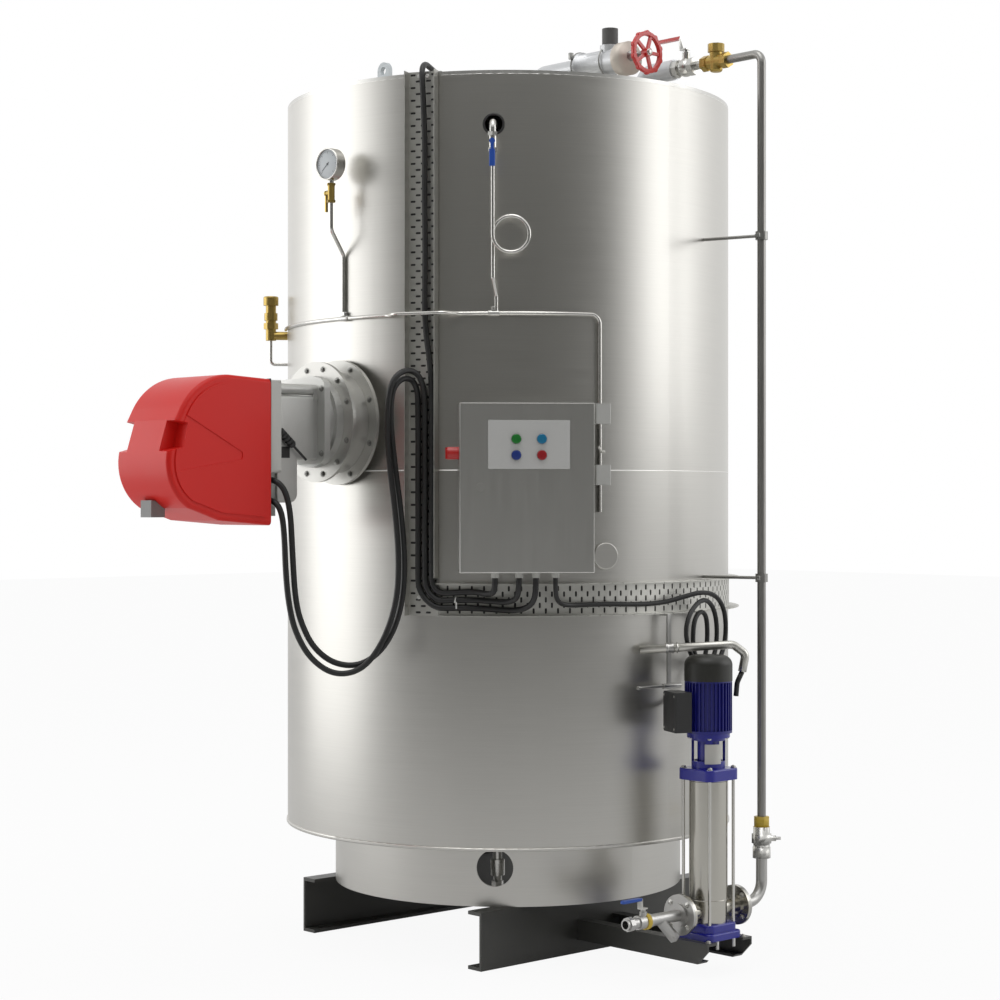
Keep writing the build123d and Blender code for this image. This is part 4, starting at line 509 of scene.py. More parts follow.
class BoilerStageSettings(bpy.types.PropertyGroup):
    lens: bpy.props.FloatProperty(
        name="Lens", description="Focal length on a 36 mm sensor", default=79.62, unit="CAMERA"
    )
    distance: bpy.props.FloatProperty(
        name="Distance", description="Camera to the boiler's axis", default=7.469, unit="LENGTH"
    )
    height: bpy.props.FloatProperty(
        name="Height", description="Camera above the floor", default=1.4495, unit="LENGTH"
    )
    azimuth: bpy.props.FloatProperty(
        name="Turn",
        description="Turn of the camera about the boiler",
        default=math.radians(47.06),
        subtype="ANGLE",
    )
    floor: bpy.props.FloatVectorProperty(
        name="Floor", description="Floor colour", default=(0.82, 0.82, 0.82), subtype="COLOR", size=3
    )
    curtain: bpy.props.FloatVectorProperty(
        name="Curtain",
        description="Curtain behind the camera",
        default=(0.22, 0.22, 0.21),
        subtype="COLOR",
        size=3,
    )


class BoilerTraySettings(bpy.types.PropertyGroup):
    slot_length: bpy.props.FloatProperty(
        name="Slot", description="Slot length", default=0.017, unit="LENGTH"
    )
    slot_width: bpy.props.FloatProperty(
        name="Slot width", description="Slot width", default=0.0065, unit="LENGTH"
    )
    upright_cells: bpy.props.IntProperty(
        name="Upright cells", description="Slot groups up the tray", default=43
    )
    curved_cells: bpy.props.IntProperty(
        name="Curved cells", description="Slot groups round the jacket", default=41
    )


class BoilerCableSettings(bpy.types.PropertyGroup):
    control: bpy.props.FloatProperty(
        name="Control cable", description="Cable diameter", default=0.018, unit="LENGTH"
    )
    pump: bpy.props.FloatProperty(
        name="Pump cable", description="Cable diameter", default=0.015, unit="LENGTH"
    )


# Stage


SENSOR_WIDTH = 36
CAMERA_SHIFT = (-0.008, -0.0005)
WORLD_LIGHT = 0.62
FLOOR_SIZE = 60
FLOOR_SEEN = 0.93
FLOOR_MIRRORED = 0.12
CURTAIN_RADIUS = 11
CURTAIN_HEIGHT = 7
CURTAIN_AZIMUTHS = (-104, 15)
MATT = 0.9
# Name, place, the point it faces, size and power
SOFTBOXES = (
    ("Left Softbox", (-4.75, -4.3, 2.2), (0, 0, 1.6), (5.0, 4.8), 114),
    ("Right Softbox", (4.85, 4.35, 3.6), (0, 0, 1.9), (3.4, 3.6), 66),
    ("Top Softbox", (1.5, -1.5, 6.5), (0, 0, 1.5), (3.0, 3.0), 60),
)


def camera_placed(settings):
    data = bpy.data.cameras.new("Photo Camera")
    camera = bpy.data.objects.new("Photo Camera", data)
    bpy.context.scene.collection.objects.link(camera)
    turn = settings.azimuth
    camera.location = polar(settings.distance, math.degrees(turn) - 90, settings.height)
    camera.rotation_euler = (math.pi / 2, 0, turn)
    data.lens = settings.lens
    data.sensor_width = SENSOR_WIDTH
    data.shift_x, data.shift_y = CAMERA_SHIFT
    bpy.context.scene.camera = camera


def softbox(name, location, target, size, energy):
    data = bpy.data.lights.new(name, "AREA")
    data.shape = "RECTANGLE"
    data.size, data.size_y = size
    data.energy = energy
    lamp = bpy.data.objects.new(name, data)
    bpy.context.scene.collection.objects.link(lamp)
    lamp.location = location
    lamp.rotation_euler = (Vector(target) - Vector(location)).to_track_quat("-Z", "Y").to_euler()


def white_world():
    """White to the camera and in reflections, a plain level of light on the rest."""
    world = bpy.data.worlds.new("Studio")
    bpy.context.scene.world = world
    world.use_nodes = True
    tree = world.node_tree
    background = tree.nodes["Background"]
    path = tree.nodes.new("ShaderNodeLightPath").outputs
    seen = calculated(tree, "MAXIMUM", path["Is Camera Ray"], path["Is Glossy Ray"])
    seen_or_through = calculated(tree, "MAXIMUM", seen, path["Is Transmission Ray"])
    strength = node(
        tree, "ShaderNodeMapRange", [("Value", seen_or_through), ("To Min", WORLD_LIGHT), ("To Max", 1.0)]
    )
    background.inputs["Color"].default_value = (1, 1, 1, 1)
    tree.links.new(strength.outputs[0], background.inputs["Strength"])


def stage_material(piece, name, colour, other, share):
    """Matt colour on a stage piece, mixed with another shader by a share that the rays give."""
    material = bpy.data.materials.new(name)
    material.use_nodes = True
    tree = material.node_tree
    shader = tree.nodes["Principled BSDF"]
    shader.inputs["Base Color"].default_value = (*colour, 1)
    shader.inputs["Roughness"].default_value = MATT
    path = tree.nodes.new("ShaderNodeLightPath").outputs
    second = tree.nodes.new(other)
    links = [(0, share(tree, path)), (1, shader.outputs[0]), (2, second.outputs[0])]
    mix = node(tree, "ShaderNodeMixShader", links)
    tree.links.new(mix.outputs[0], tree.nodes["Material Output"].inputs["Surface"])
    piece.data.materials.append(material)


def floor_share(tree, path):
    """How much of the floor glows white: most to the camera, a little in what mirrors it."""
    mirrored = calculated(tree, "MULTIPLY", path["Is Glossy Ray"], FLOOR_MIRRORED)
    return calculated(tree, "MULTIPLY_ADD", path["Is Camera Ray"], FLOOR_SEEN, mirrored)


def camera_share(tree, path):
    """All of the curtain is clear to the camera."""
    return path["Is Camera Ray"]


def pale_floor(colour):
    nothing_selected()
    bpy.ops.mesh.primitive_plane_add(size=FLOOR_SIZE, location=(0, 0, -0.5 * MM))
    floor = bpy.context.object
    floor.name = "floor"
    stage_material(floor, "Pale Floor", colour, "ShaderNodeEmission", floor_share)
    floor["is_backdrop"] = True


def dark_curtain(colour):
    """Grey curtain behind the camera: the bright steel mirrors it, the camera looks through it."""
    curtain = sheet_arc((0, 0), CURTAIN_RADIUS, (0, CURTAIN_HEIGHT), CURTAIN_AZIMUTHS)
    curtain.name = "curtain"
    stage_material(curtain, "Grey Curtain", colour, "ShaderNodeBsdfTransparent", camera_share)
    curtain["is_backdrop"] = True


class BOILER_OT_stage(bpy.types.Operator):
    """Camera at the photograph's angle, soft light, white world and a pale floor"""

    bl_idname = "boiler.stage"
    bl_label = "Stage"

    def execute(self, context):
        settings = context.scene.boiler_stage
        camera_placed(settings)
        white_world()
        for lamp in SOFTBOXES:
            softbox(*lamp)
        pale_floor(settings.floor)
        dark_curtain(settings.curtain)
        context.scene.view_settings.view_transform = "Standard"
        return {"FINISHED"}


# Cables


# Radius and height in millimetres and azimuth in degrees of each control point
CABLE_ROUTES = {
    "burner_cable_inner": (
        (1093.4, -83.78, 1508), (1096.4, -82.46, 1508), (1076, -81.3, 1480), (1064, -80.7, 1410),
        (1062, -80.4, 1290), (1056, -80.1, 1150), (1042, -79.4, 1075), (1013, -78.1, 1002),
        (966, -75.6, 953), (910, -72.1, 947), (862, -68.5, 1000), (834, -65.9, 1103),
        (826, -65.1, 1236), (832, -65.7, 1396), (846, -67.0, 1569), (854, -67.7, 1705),
        (850, -67.2, 1786), (823, -66.0, 1818), (784, -64.8, 1817), (758, -64.3, 1784),
        (756, -64.3, 1725), (757, -64.2, 1625), (756, -64.3, 1470), (757, -64.2, 1330),
        (756, -64.3, 1230), (757, -64.1, 1169), (758, -60.4, 1119), (757, -56.3, 1119),
        (757, -51.7, 1120), (757, -47.4, 1117), (762, -43.5, 1113), (778, -40.0, 1115),
        (803, -37.9, 1131), (826.7, -37.11, 1163), (826.7, -37.11, 1213.7),
    ),
    "burner_cable_outer": (
        (1093.4, -83.78, 1446), (1095.8, -82.6, 1446), (1085, -81.6, 1414), (1081, -81.2, 1345),
        (1080, -81.0, 1240), (1077, -80.6, 1150), (1066, -79.8, 1058), (1034, -77.9, 971),
        (981, -74.8, 920), (925, -70.9, 938), (881, -68.0, 1025), (854, -66.1, 1140),
        (848, -65.8, 1266), (855, -66.4, 1409), (870, -67.4, 1569), (879, -67.5, 1715),
        (874, -66.8, 1803), (843, -65.3, 1840), (797, -63.7, 1841), (765, -62.7, 1804),
        (757, -62.5, 1745), (756, -62.6, 1650), (757, -62.5, 1500), (756, -62.6, 1365),
        (757, -62.5, 1252), (757, -62.5, 1179), (758, -59.7, 1141), (757, -56.5, 1142),
        (757, -52.9, 1144), (757, -49.4, 1143), (760, -46.2, 1140), (775, -43.1, 1138),
        (800, -41.3, 1147), (826.2, -40.65, 1174), (826.2, -40.65, 1213.7),
    ),
    "roof_cable": (
        (606.3, -63.4, 2774), (640, -63.4, 2774), (684, -63.3, 2780), (730, -63.3, 2787),
        (762, -63.1, 2768), (770, -62.8, 2726), (764, -62.6, 2650), (757, -62.5, 2520),
        (758, -62.6, 2380), (757, -62.4, 2200), (758, -62.6, 2040), (757, -62.2, 1945),
        (758, -61.2, 1865), (757, -60.8, 1760), (756, -60.9, 1620), (757, -60.8, 1460),
        (756, -60.9, 1340), (757, -60.8, 1247), (757, -60.8, 1187), (758, -59.0, 1164),
        (757, -56.2, 1165), (758, -53.1, 1168), (768, -50.1, 1169), (790, -47.8, 1164),
        (817, -46.2, 1165), (830.9, -45.62, 1184), (830.9, -45.62, 1213.7),
    ),
    "pump_cable": (
        (831.1, -33.045, 1213.7), (831.1, -33.045, 1178), (812, -32.5, 1147), (783, -30.8, 1131),
        (761, -27.7, 1127), (756, -23.5, 1129), (757, -18.0, 1129), (756, -12.0, 1126),
        (757, -7.0, 1126), (764, -2.6, 1131), (784, 1.7, 1146), (805, 5.9, 1160),
        (817, 10.2, 1150), (820, 13.6, 1110), (819, 15.0, 1050), (820, 14.0, 985),
        (818, 11.3, 932), (820, 7.3, 910), (819, 3.4, 927), (820, 0.5, 976),
        (819, -0.8, 1038), (818, 0.6, 1094), (812, 4.2, 1130), (804, 8.1, 1135),
        (800, 11.5, 1108), (801, 13.0, 1055), (800, 12.8, 983), (801, 11.0, 944),
        (800, 8.05, 929), (801, 5.1, 941), (800, 3.3, 983), (799, 3.6, 1058),
        (796, 5.2, 1090), (791, 7.6, 1098), (786, 9.9, 1082), (782, 11.0, 1040),
        (782, 10.7, 980), (781, 9.0, 920), (780, 6.2, 868), (779, 3.2, 838),
        (774, 0.4, 817), (767.7, -2.46, 804), (787.4, -4.23, 800), (815.6, -4.978, 800),
    ),
}


TIE_AZIMUTH = -55.0
TIE_PLACE = (757 * MM, 0, 1142.5 * MM)
TIE_GAP = 0.8 * MM


def cable_curve(name, diameter):
    """Cable as one NURBS spline by its given control points, whose radius is the cable's."""
    data = bpy.data.curves.new(name + "_curve", "CURVE")
    data.dimensions = "3D"
    data.bevel_depth = 1
    data.bevel_resolution = 4
    data.resolution_u = 8
    data.use_fill_caps = True
    spline = data.splines.new("NURBS")
    route = CABLE_ROUTES[name]
    spline.points.add(len(route) - 1)
    for point, (radius, azimuth, height) in zip(spline.points, route):
        point.co = (*polar(radius * MM, azimuth, height * MM), 1)
        point.radius = diameter / 2
    spline.order_u = 3
    spline.use_endpoint_u = True
    curve = bpy.data.objects.new(name + "_run", data)
    bpy.context.scene.collection.objects.link(curve)
    return curve


def curve_length(curve):
    """Length of a curve's own line, its thickness left aside."""
    curve.data.bevel_depth = 0
    shape = bpy.data.meshes.new_from_object(curve)
    curve.data.bevel_depth = 1
    points = [vertex.co for vertex in shape.vertices]
    return sum((b - a).length for a, b in zip(points, points[1:]))


class BOILER_OT_cables(bpy.types.Operator):
    """Four cables between the burner, roof, pump and cabinet, with a tie"""

    bl_idname = "boiler.cables"
    bl_label = "Cables"

    def execute(self, context):
        settings = context.scene.boiler_cables
        for name in CABLE_ROUTES:
            diameter = settings.pump if name == "pump_cable" else settings.control
            curve = cable_curve(name, diameter)
            curve.data.materials.append(look("rubber"))
            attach(curve, "boiler")
            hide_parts(name)
            radius, azimuth, height = CABLE_ROUTES[name][0]
            tuple(polar(radius * MM, azimuth, height * MM))
            curve_length(curve)
        self.tie(settings.control)
        return {"FINISHED"}

    def tie(self, diameter):
        """White tie round the middle cable where it leaves the upright tray."""
        band = hoop((0, 0, 0), diameter / 2 + TIE_GAP, 2 * TIE_GAP, (0, 1, 0), steps=28, sides=8)
        lock = block((0.0125, 0.0, -0.003), (0.0055, 0.0050, 0.0075), bevel=0.001)
        tail = block((0.0135, 0.004, -0.015), (0.0012, 0.0045, 0.020), bevel=0.0004)
        place = azimuth_matrix(TIE_AZIMUTH) @ Matrix.Translation(TIE_PLACE)
        finished(settled(joined("cable_tie", [band, lock, tail]), place), look("tie"))


# Perforated trays


SLOT_ROWS = 5
SLOT_PITCH = 17 * MM
SLOT_CORNER = 0.48
OPEN_CELLS = 3
CURVED_START = TRAY_AZIMUTH + 3.9
CURVED_END = 60
CURVED_MIDDLE = TRAY_BOTTOM + TRAY_WIDTH / 2
TRAY_SCREW = 6.2 * MM
TRAY_SCREW_HEIGHTS = (1150 * MM, 2746 * MM)
TRAY_SCREW_SIDE = 14 * MM


def slot_cutter(centre, settings):
    """Block with its four outward edges rounded to a slot's ends."""
    cutter = block(centre, (4 * TRAY_SHEET, settings.slot_length, settings.slot_width), bevel=0)
    only(cutter)
    bpy.ops.object.mode_set(mode="EDIT")
    bpy.ops.mesh.select_mode(type="EDGE")
    bpy.ops.mesh.select_all(action="DESELECT")
    bpy.ops.object.mode_set(mode="OBJECT")
    for edge in cutter.data.edges:
        a, b = (cutter.data.vertices[index].co for index in edge.vertices)
        edge.select = abs(a.x - b.x) > TRAY_SHEET
    bpy.ops.object.mode_set(mode="EDIT")
    bpy.ops.mesh.bevel(offset=SLOT_CORNER * settings.slot_width, segments=3)
    bpy.ops.object.mode_set(mode="OBJECT")
    return cutter


def slotted_cell(length, settings, sides=(-1, 1)):
    """One length of tray: X is outwards, Y across, Z along, its back face at X 0."""
    # The sheet stands off the jacket by the strip of painted shadow behind it
    sheet = block((TRAY_SHEET / 2, 0, length / 2), (TRAY_SHEET - 2 * SHADE_STRIP, TRAY_WIDTH, length), bevel=0)
    cutters = []
    for row in range(SLOT_ROWS):
        y = SLOT_PITCH * (row - SLOT_ROWS // 2)
        z = length * (0.25 if row % 2 else 0.75)
        cutters.append(slot_cutter((TRAY_SHEET / 2, y, z), settings))
    cutter = joined("slots", cutters)
    applied(sheet, "BOOLEAN", operation="DIFFERENCE", object=cutter, solver="EXACT")
    bpy.data.objects.remove(cutter)
    parts = [sheet]
    for side in sides:
        centre = (TRAY_DEPTH / 2, side * (TRAY_WIDTH - TRAY_SHEET) / 2, length / 2)
        parts.append(block(centre, (TRAY_DEPTH, TRAY_SHEET, length), bevel=0))
    return joined("cell", parts)


def on_jacket(azimuth, height):
    """Place on the trays' line: local X outwards, Y round the jacket, Z up."""
    return azimuth_matrix(azimuth) @ Matrix.Translation((TRAY_RADIUS, 0, height))


class BOILER_OT_trays(bpy.types.Operator):
    """Perforated upright and curved cable trays with their screws"""

    bl_idname = "boiler.trays"
    bl_label = "Cable trays"

    def execute(self, context):
        self.upright(context.scene.boiler_trays)
        self.curved(context.scene.boiler_trays)
        self.screws()
        return {"FINISHED"}

    def upright(self, settings):
        """Tray up the jacket, its lowest cells open towards the curved tray."""
        count = settings.upright_cells
        length = (TRAY_TOP - TRAY_BOTTOM) / count
        places = [on_jacket(TRAY_AZIMUTH, TRAY_BOTTOM + index * length) for index in range(count)]
        upper = spread("upper", slotted_cell(length, settings), places[OPEN_CELLS:])
        lower = spread("lower", slotted_cell(length, settings, sides=(-1,)), places[:OPEN_CELLS])
        upright = joined("upright_tray", [upper, lower])
        finished(upright, look("tray"))
        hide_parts("vertical_tray")
        # Near-black strip between jacket and slotted sheet: painted shadow seen through the slots
        strip = block((SHADE_STRIP / 2, 0, 0), (SHADE_STRIP, TRAY_WIDTH - 2 * TRAY_SHEET, TRAY_TOP - TRAY_BOTTOM))
        settled(strip, on_jacket(TRAY_AZIMUTH, (TRAY_TOP + TRAY_BOTTOM) / 2))
        finished(joined("upright_lining", [strip]), look("painted shade and dark joint"))

    def curved(self, settings):
        """Tray round the jacket, straight cell by straight cell."""
        step = (CURVED_END - CURVED_START) / settings.curved_cells
        length = TRAY_RADIUS * math.radians(step)
        lying = Matrix.Rotation(math.radians(-90), 4, "X") @ Matrix.Translation((0, 0, -length / 2))
        azimuths = [CURVED_START + step * (index + 0.5) for index in range(settings.curved_cells)]
        places = [on_jacket(azimuth, CURVED_MIDDLE) for azimuth in azimuths]
        cell = slotted_cell(length, settings)
        curved = spread("curved_tray", cell, [place @ lying for place in places])
        finished(curved, look("tray"))
        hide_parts("horizontal_tray")
        # Near-black strips behind the curved cells: painted shadow seen through the slots
        strips = []
        for place in places:
            strip = block((SHADE_STRIP / 2, 0, 0), (SHADE_STRIP, length, TRAY_WIDTH - 2 * TRAY_SHEET))
            strips.append(settled(strip, place))
        finished(joined("curved_lining", strips), look("painted shade and dark joint"))

    def screws(self):
        front = Matrix.Translation((TRAY_SHEET - SHADE_STRIP, 0, 0)) @ aim((1, 0, 0))
        places = []
        for height in TRAY_SCREW_HEIGHTS:
            for side in (-TRAY_SCREW_SIDE, TRAY_SCREW_SIDE):
                place = on_jacket(TRAY_AZIMUTH, height) @ Matrix.Translation((0, side, 0))
                places.append(place @ front)
        finished(spread("tray_screws", screw_model(TRAY_SCREW), places), look("tie"))


# Boiler shell


# Radius, thickness, height and steps of the beads at the jacket's seam, rim and foot, their brightness a
# painted highlight
JACKET_BEADS = (
    (739.2 * MM, 2.0 * MM, 1539.0 * MM, 160),
    (738.7 * MM, 1.4 * MM, 2746.2 * MM, 160),
    (580.5 * MM, 2.0 * MM, 376.5 * MM, 120),
)
RIVET = 5 * MM
RIVET_PLACE = (715 * MM, 0, 2758 * MM)
RIVET_STEP = 10
RIVETS_OFF_TRAY = 9
SYPHON_AZIMUTH = -46.3
GROMMET_RADIUS = 30 * MM
GROMMET_THICKNESS = 4 * MM
GROMMET_PLACE = (741 * MM, SYPHON_AZIMUTH, 2592 * MM)


class BOILER_OT_shell(bpy.types.Operator):
    """Jacket, floor, roof and skirt finishes with seam beads, rivets and a grommet"""

    bl_idname = "boiler.shell"
    bl_label = "Shell"

    def execute(self, context):
        dressed(["lower_jacket", "upper_jacket", "base_skirt", "jacket_floor", "inspection_cap"], "jacket")
        dressed(["roof", "flue_collar"], "roof")
        dressed(["lifting_lugs"], "lug")
        dressed(["drain_pipe"], "nickel")
        # Beads in the pale finish: their brightness is a painted highlight
        beads = []
        for radius, thickness, height, steps in JACKET_BEADS:
            beads.append(hoop((0, 0, height), radius, thickness, steps=steps, sides=8))
        finished(joined("jacket_seams", beads), look("painted highlight edge"))

        places = []
        for azimuth in range(5, 360, RIVET_STEP):
            if abs(azimuth - 360 - TRAY_AZIMUTH) > RIVETS_OFF_TRAY:
                places.append(azimuth_matrix(azimuth) @ Matrix.Translation(RIVET_PLACE))
        finished(spread("roof_rivets", screw_model(RIVET), places), look("steel"))

        outwards = polar(1, SYPHON_AZIMUTH, 0)
        grommet = hoop(polar(*GROMMET_PLACE), GROMMET_RADIUS, GROMMET_THICKNESS, outwards, steps=48, sides=10)
        finished(joined("syphon_grommet", [grommet]), look("rubber"))
        return {"FINISHED"}


FOOT_BOLT = 7.5 * MM
FOOT_BOLT_SIDE = 52 * MM
FOOT_TOP = 130 * MM
RAIL_BOLT_X = 985 * MM
RAIL_BOLT_SIDE = 79 * MM
RAIL_BOLT_SEAT = 108.1 * MM


class BOILER_OT_rails(bpy.types.Operator):
    """Painted base and pump rails with their bolts"""

    bl_idname = "boiler.rails"
    bl_label = "Rails"

    def execute(self, context):
        dressed(["base_rails", "pump_rails"], "rails")
        places = []
        for x, y in corners(FOOT_BOLT_SIDE):
            places.append(Matrix.Translation((PUMP_X + x, PUMP_Y + y, FOOT_TOP)))
        for side in (-1, 1):
            places.append(Matrix.Translation((RAIL_BOLT_X, PUMP_Y + side * RAIL_BOLT_SIDE, RAIL_BOLT_SEAT)))
        finished(spread("foot_bolts", bolt_model(FOOT_BOLT), places), look("zinc"))
        return {"FINISHED"}


# Cabinet, in its own turn: X outwards from the boiler's axis, Y along its front


BRACKET_START = 200.5 * MM
DOOR_FRONT = 920.5 * MM
DOOR_MIDDLE = 1484 * MM
LENS_RADIUS = 14.6 * MM
LAMP_FRONT = DOOR_FRONT + 2 * MM
LAMP_MIDDLE = (5.5 * MM, 1605 * MM)
LAMP_SIDE = 38 * MM
LAMP_RISE = 24 * MM
LAMPS = (("lamp green", -1, 1), ("lamp cyan", 1, 1), ("lamp blue", -1, -1), ("lamp red", 1, -1))
LOCK_RADIUS = 12.5 * MM
LOCK_DEPTH = 6.2 * MM
LOCK_PLACE = (DOOR_FRONT + 3 * MM, -138 * MM, 1486 * MM)
FOLD_DEPTH = 3.4 * MM
FOLD_WIDTH = 2.2 * MM
FOLD_BEVEL = 0.9 * MM
FOLD_BACK = 1.2 * MM
FOLD_SIDE = 199.2 * MM
FOLD_RISE = 251 * MM


class BOILER_OT_cabinet(bpy.types.Operator):
    """Cabinet, door, lamps, lock and main switch"""

    bl_idname = "boiler.cabinet"
    bl_label = "Control cabinet"

    def execute(self, context):
        self.turn = azimuth_matrix(CABINET_AZIMUTH)
        inward = azimuth_matrix(-CABINET_AZIMUTH)
        zoned(
            "cabinet_box",
            [("bracket", lambda centre: (inward @ centre).y > BRACKET_START), ("cabinet", anywhere)],
        )
        dressed(["cabinet_door"], "cabinet")
        dressed(["lamp_panel"], "panel")
        dressed(["cable_glands"], "gland")
        dressed(["main_switch"], "red paint")
        self.lamps()
        self.fittings()
        return {"FINISHED"}

    def lamps(self):
        """Four coloured lenses, slightly domed, each in a thin rim."""
        middle_y, middle_z = LAMP_MIDDLE
        rims = []
        for colour, across, up in LAMPS:
            spot = (LAMP_FRONT, middle_y + across * LAMP_SIDE, middle_z + up * LAMP_RISE)
            place = self.turn @ Matrix.Translation(spot)
            rim = hoop((1.2 * MM, 0, 0), LENS_RADIUS, 1.2 * MM, (1, 0, 0), steps=40, sides=8)
            rims.append(settled(rim, place))
            lens = disc((3.5 * MM, 0, 0), LENS_RADIUS, 7 * MM, (1, 0, 0), bevel=2.6 * MM, segments=4)
            settled(lens, place)
            lens.name = colour.replace(" ", "_") + "_lens"
            finished(lens, look(colour), body="door")
        rims = finished(joined("lamp_rims", rims), look("latch"), body="door")
        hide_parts("indicator_lamps")

    def fittings(self):
        """Lock knob, folded door edges painted pale as a highlight, and the catch on the tube beside the
        door.
        """
        knob = disc(LOCK_PLACE, LOCK_RADIUS, LOCK_DEPTH, (1, 0, 0), bevel=5.8 * MM, segments=5)
        finished(settled(joined("lock_knob", [knob]), self.turn), look("gland"), body="door")

        upright = (FOLD_DEPTH, FOLD_WIDTH, 2 * FOLD_RISE + 2 * MM)
        level = (FOLD_DEPTH, 400 * MM, FOLD_WIDTH)
        bars = []
        for side in (-1, 1):
            beside = (DOOR_FRONT - FOLD_BACK, side * FOLD_SIDE, DOOR_MIDDLE)
            bars.append(block(beside, upright, bevel=FOLD_BEVEL))
            above = (DOOR_FRONT - FOLD_BACK, 0, DOOR_MIDDLE + side * FOLD_RISE)
            bars.append(block(above, level, bevel=FOLD_BEVEL))
        # Folds in the pale finish: their brightness is a painted highlight
        finished(settled(joined("door_edges", bars), self.turn), look("painted highlight edge"), body="door")

        knob = disc((768 * MM, 242 * MM, 1594 * MM), 5.2 * MM, 12 * MM, (0, 1, 0), 24, 2.4 * MM, 4)
        pin = disc((768 * MM, 232 * MM, 1602 * MM), 3.6 * MM, 20 * MM, (0, 0.5, -1), 16)
        finished(settled(joined("door_catch", [knob, pin]), self.turn), look("bracket"))


# Instruments on the jacket


GAUGE_AZIMUTH = -85.5
GAUGE_HEIGHT = 2490 * MM
GAUGE_FRONT = 830 * MM
DIAL_FACE = GAUGE_FRONT - 3 * MM
DIAL_RADIUS = 45.5 * MM
DIAL_SHEET = 0.8 * MM
DIAL_START = 225
TICK_COUNT = 31
TICK_STEP = 9
TICK_DEPTH = 0.4 * MM
# Distance from the dial's middle, width and length of the long and the short ticks
LONG_TICK = (36.5 * MM, 1.2 * MM, 7.5 * MM)
SHORT_TICK = (39 * MM, 0.7 * MM, 3.5 * MM)
NEEDLE_TURN = 130
RING_RADIUS = 746.7 * MM
RING_HEIGHT = 2016 * MM
TEE_AZIMUTHS = (-86.0, SYPHON_AZIMUTH)


def on_dial(proud, turn=0):
    """Place on the gauge's dial, so far in front of its face and turned about its middle."""
    spin = Matrix.Rotation(math.radians(turn), 4, "X")
    return Matrix.Translation((DIAL_FACE + proud, 0, GAUGE_HEIGHT)) @ spin


class BOILER_OT_instruments(bpy.types.Operator):
    """Gauge dial and bezel, cocks, syphon, safety valve and pressure switches"""

    bl_idname = "boiler.instruments"
    bl_label = "Instruments"

    def execute(self, context):
        dressed(["ring_tube", "impulse_tubes", "pressure_gauge"], "steel")
        dressed(["gauge_cock", "gauge_cock_lever", "safety_valve"], "brass")
        dressed(["syphon_valve"], "nickel")
        dressed(["syphon_lever"], "blue grip")
        dressed(["pressure_switches"], "switch grey")
        self.dial()
        self.tees()
        return {"FINISHED"}

    def dial(self):
        """Pale dial with ticks and a needle inside a round bezel."""
        turn = azimuth_matrix(GAUGE_AZIMUTH)
        plate = disc((DIAL_FACE + DIAL_SHEET / 2, 0, GAUGE_HEIGHT), DIAL_RADIUS, DIAL_SHEET, (1, 0, 0), 64)
        finished(settled(joined("gauge_dial", [plate]), turn), look("dial"))
        marks = []
        for index in range(TICK_COUNT):
            reach, width, length = SHORT_TICK if index % 5 else LONG_TICK
            tick = block((0, 0, 0), (TICK_DEPTH, width, length))
            place = on_dial(1 * MM, DIAL_START - TICK_STEP * index - 90)
            marks.append(settled(tick, place @ Matrix.Translation((0, 0, reach))))
        needle = block((0, 0, 12 * MM), (0.6 * MM, 1.8 * MM, 40 * MM), bevel=0.2 * MM)
        marks.append(settled(needle, on_dial(1.6 * MM, NEEDLE_TURN)))
        marks.append(disc((DIAL_FACE + 1.8 * MM, 0, GAUGE_HEIGHT), 3.5 * MM, 1.6 * MM, (1, 0, 0), 20))
        finished(settled(joined("gauge_marks", marks), turn), look("ink"))
        bezel = hoop((GAUGE_FRONT, 0, GAUGE_HEIGHT), 47.5 * MM, 2.6 * MM, (1, 0, 0))
        finished(settled(joined("gauge_bezel", [bezel]), turn), look("steel"))

    def tees(self):
        """Tees and nuts where the gauge and syphon tubes leave the ring tube."""
        pieces = []
        for azimuth in TEE_AZIMUTHS:
            tee = disc((RING_RADIUS, 0, RING_HEIGHT), 8.5 * MM, 34 * MM, (0, 1, 0), 24, 1 * MM)
            nut = disc((RING_RADIUS, 0, RING_HEIGHT + 14 * MM), 8.8 * MM, 12 * MM, sides=6, bevel=1 * MM)
            pieces.append(settled(joined("tee", [tee, nut]), azimuth_matrix(azimuth)))
        finished(joined("ring_tees", pieces), look("nickel"))


# Burner


JACKET_FLANGE = 764 * MM
JACKET_FLANGE_BOLTS = 175 * MM
BURNER_FLANGE = 848 * MM
BURNER_FLANGE_BOLTS = 166 * MM
SQUARE_PLATE = 915 * MM
FLANGE_BOLT = 7.8 * MM
LATCH_START = -1.2


def at_burner(matrix):
    """Burner frame: local X outwards from the jacket, the origin on the burner's axis."""
    place = Matrix.Translation((BURNER_X, 0, BURNER_HEIGHT)) @ Matrix.Rotation(math.radians(-90), 4, "Z")
    return place @ matrix


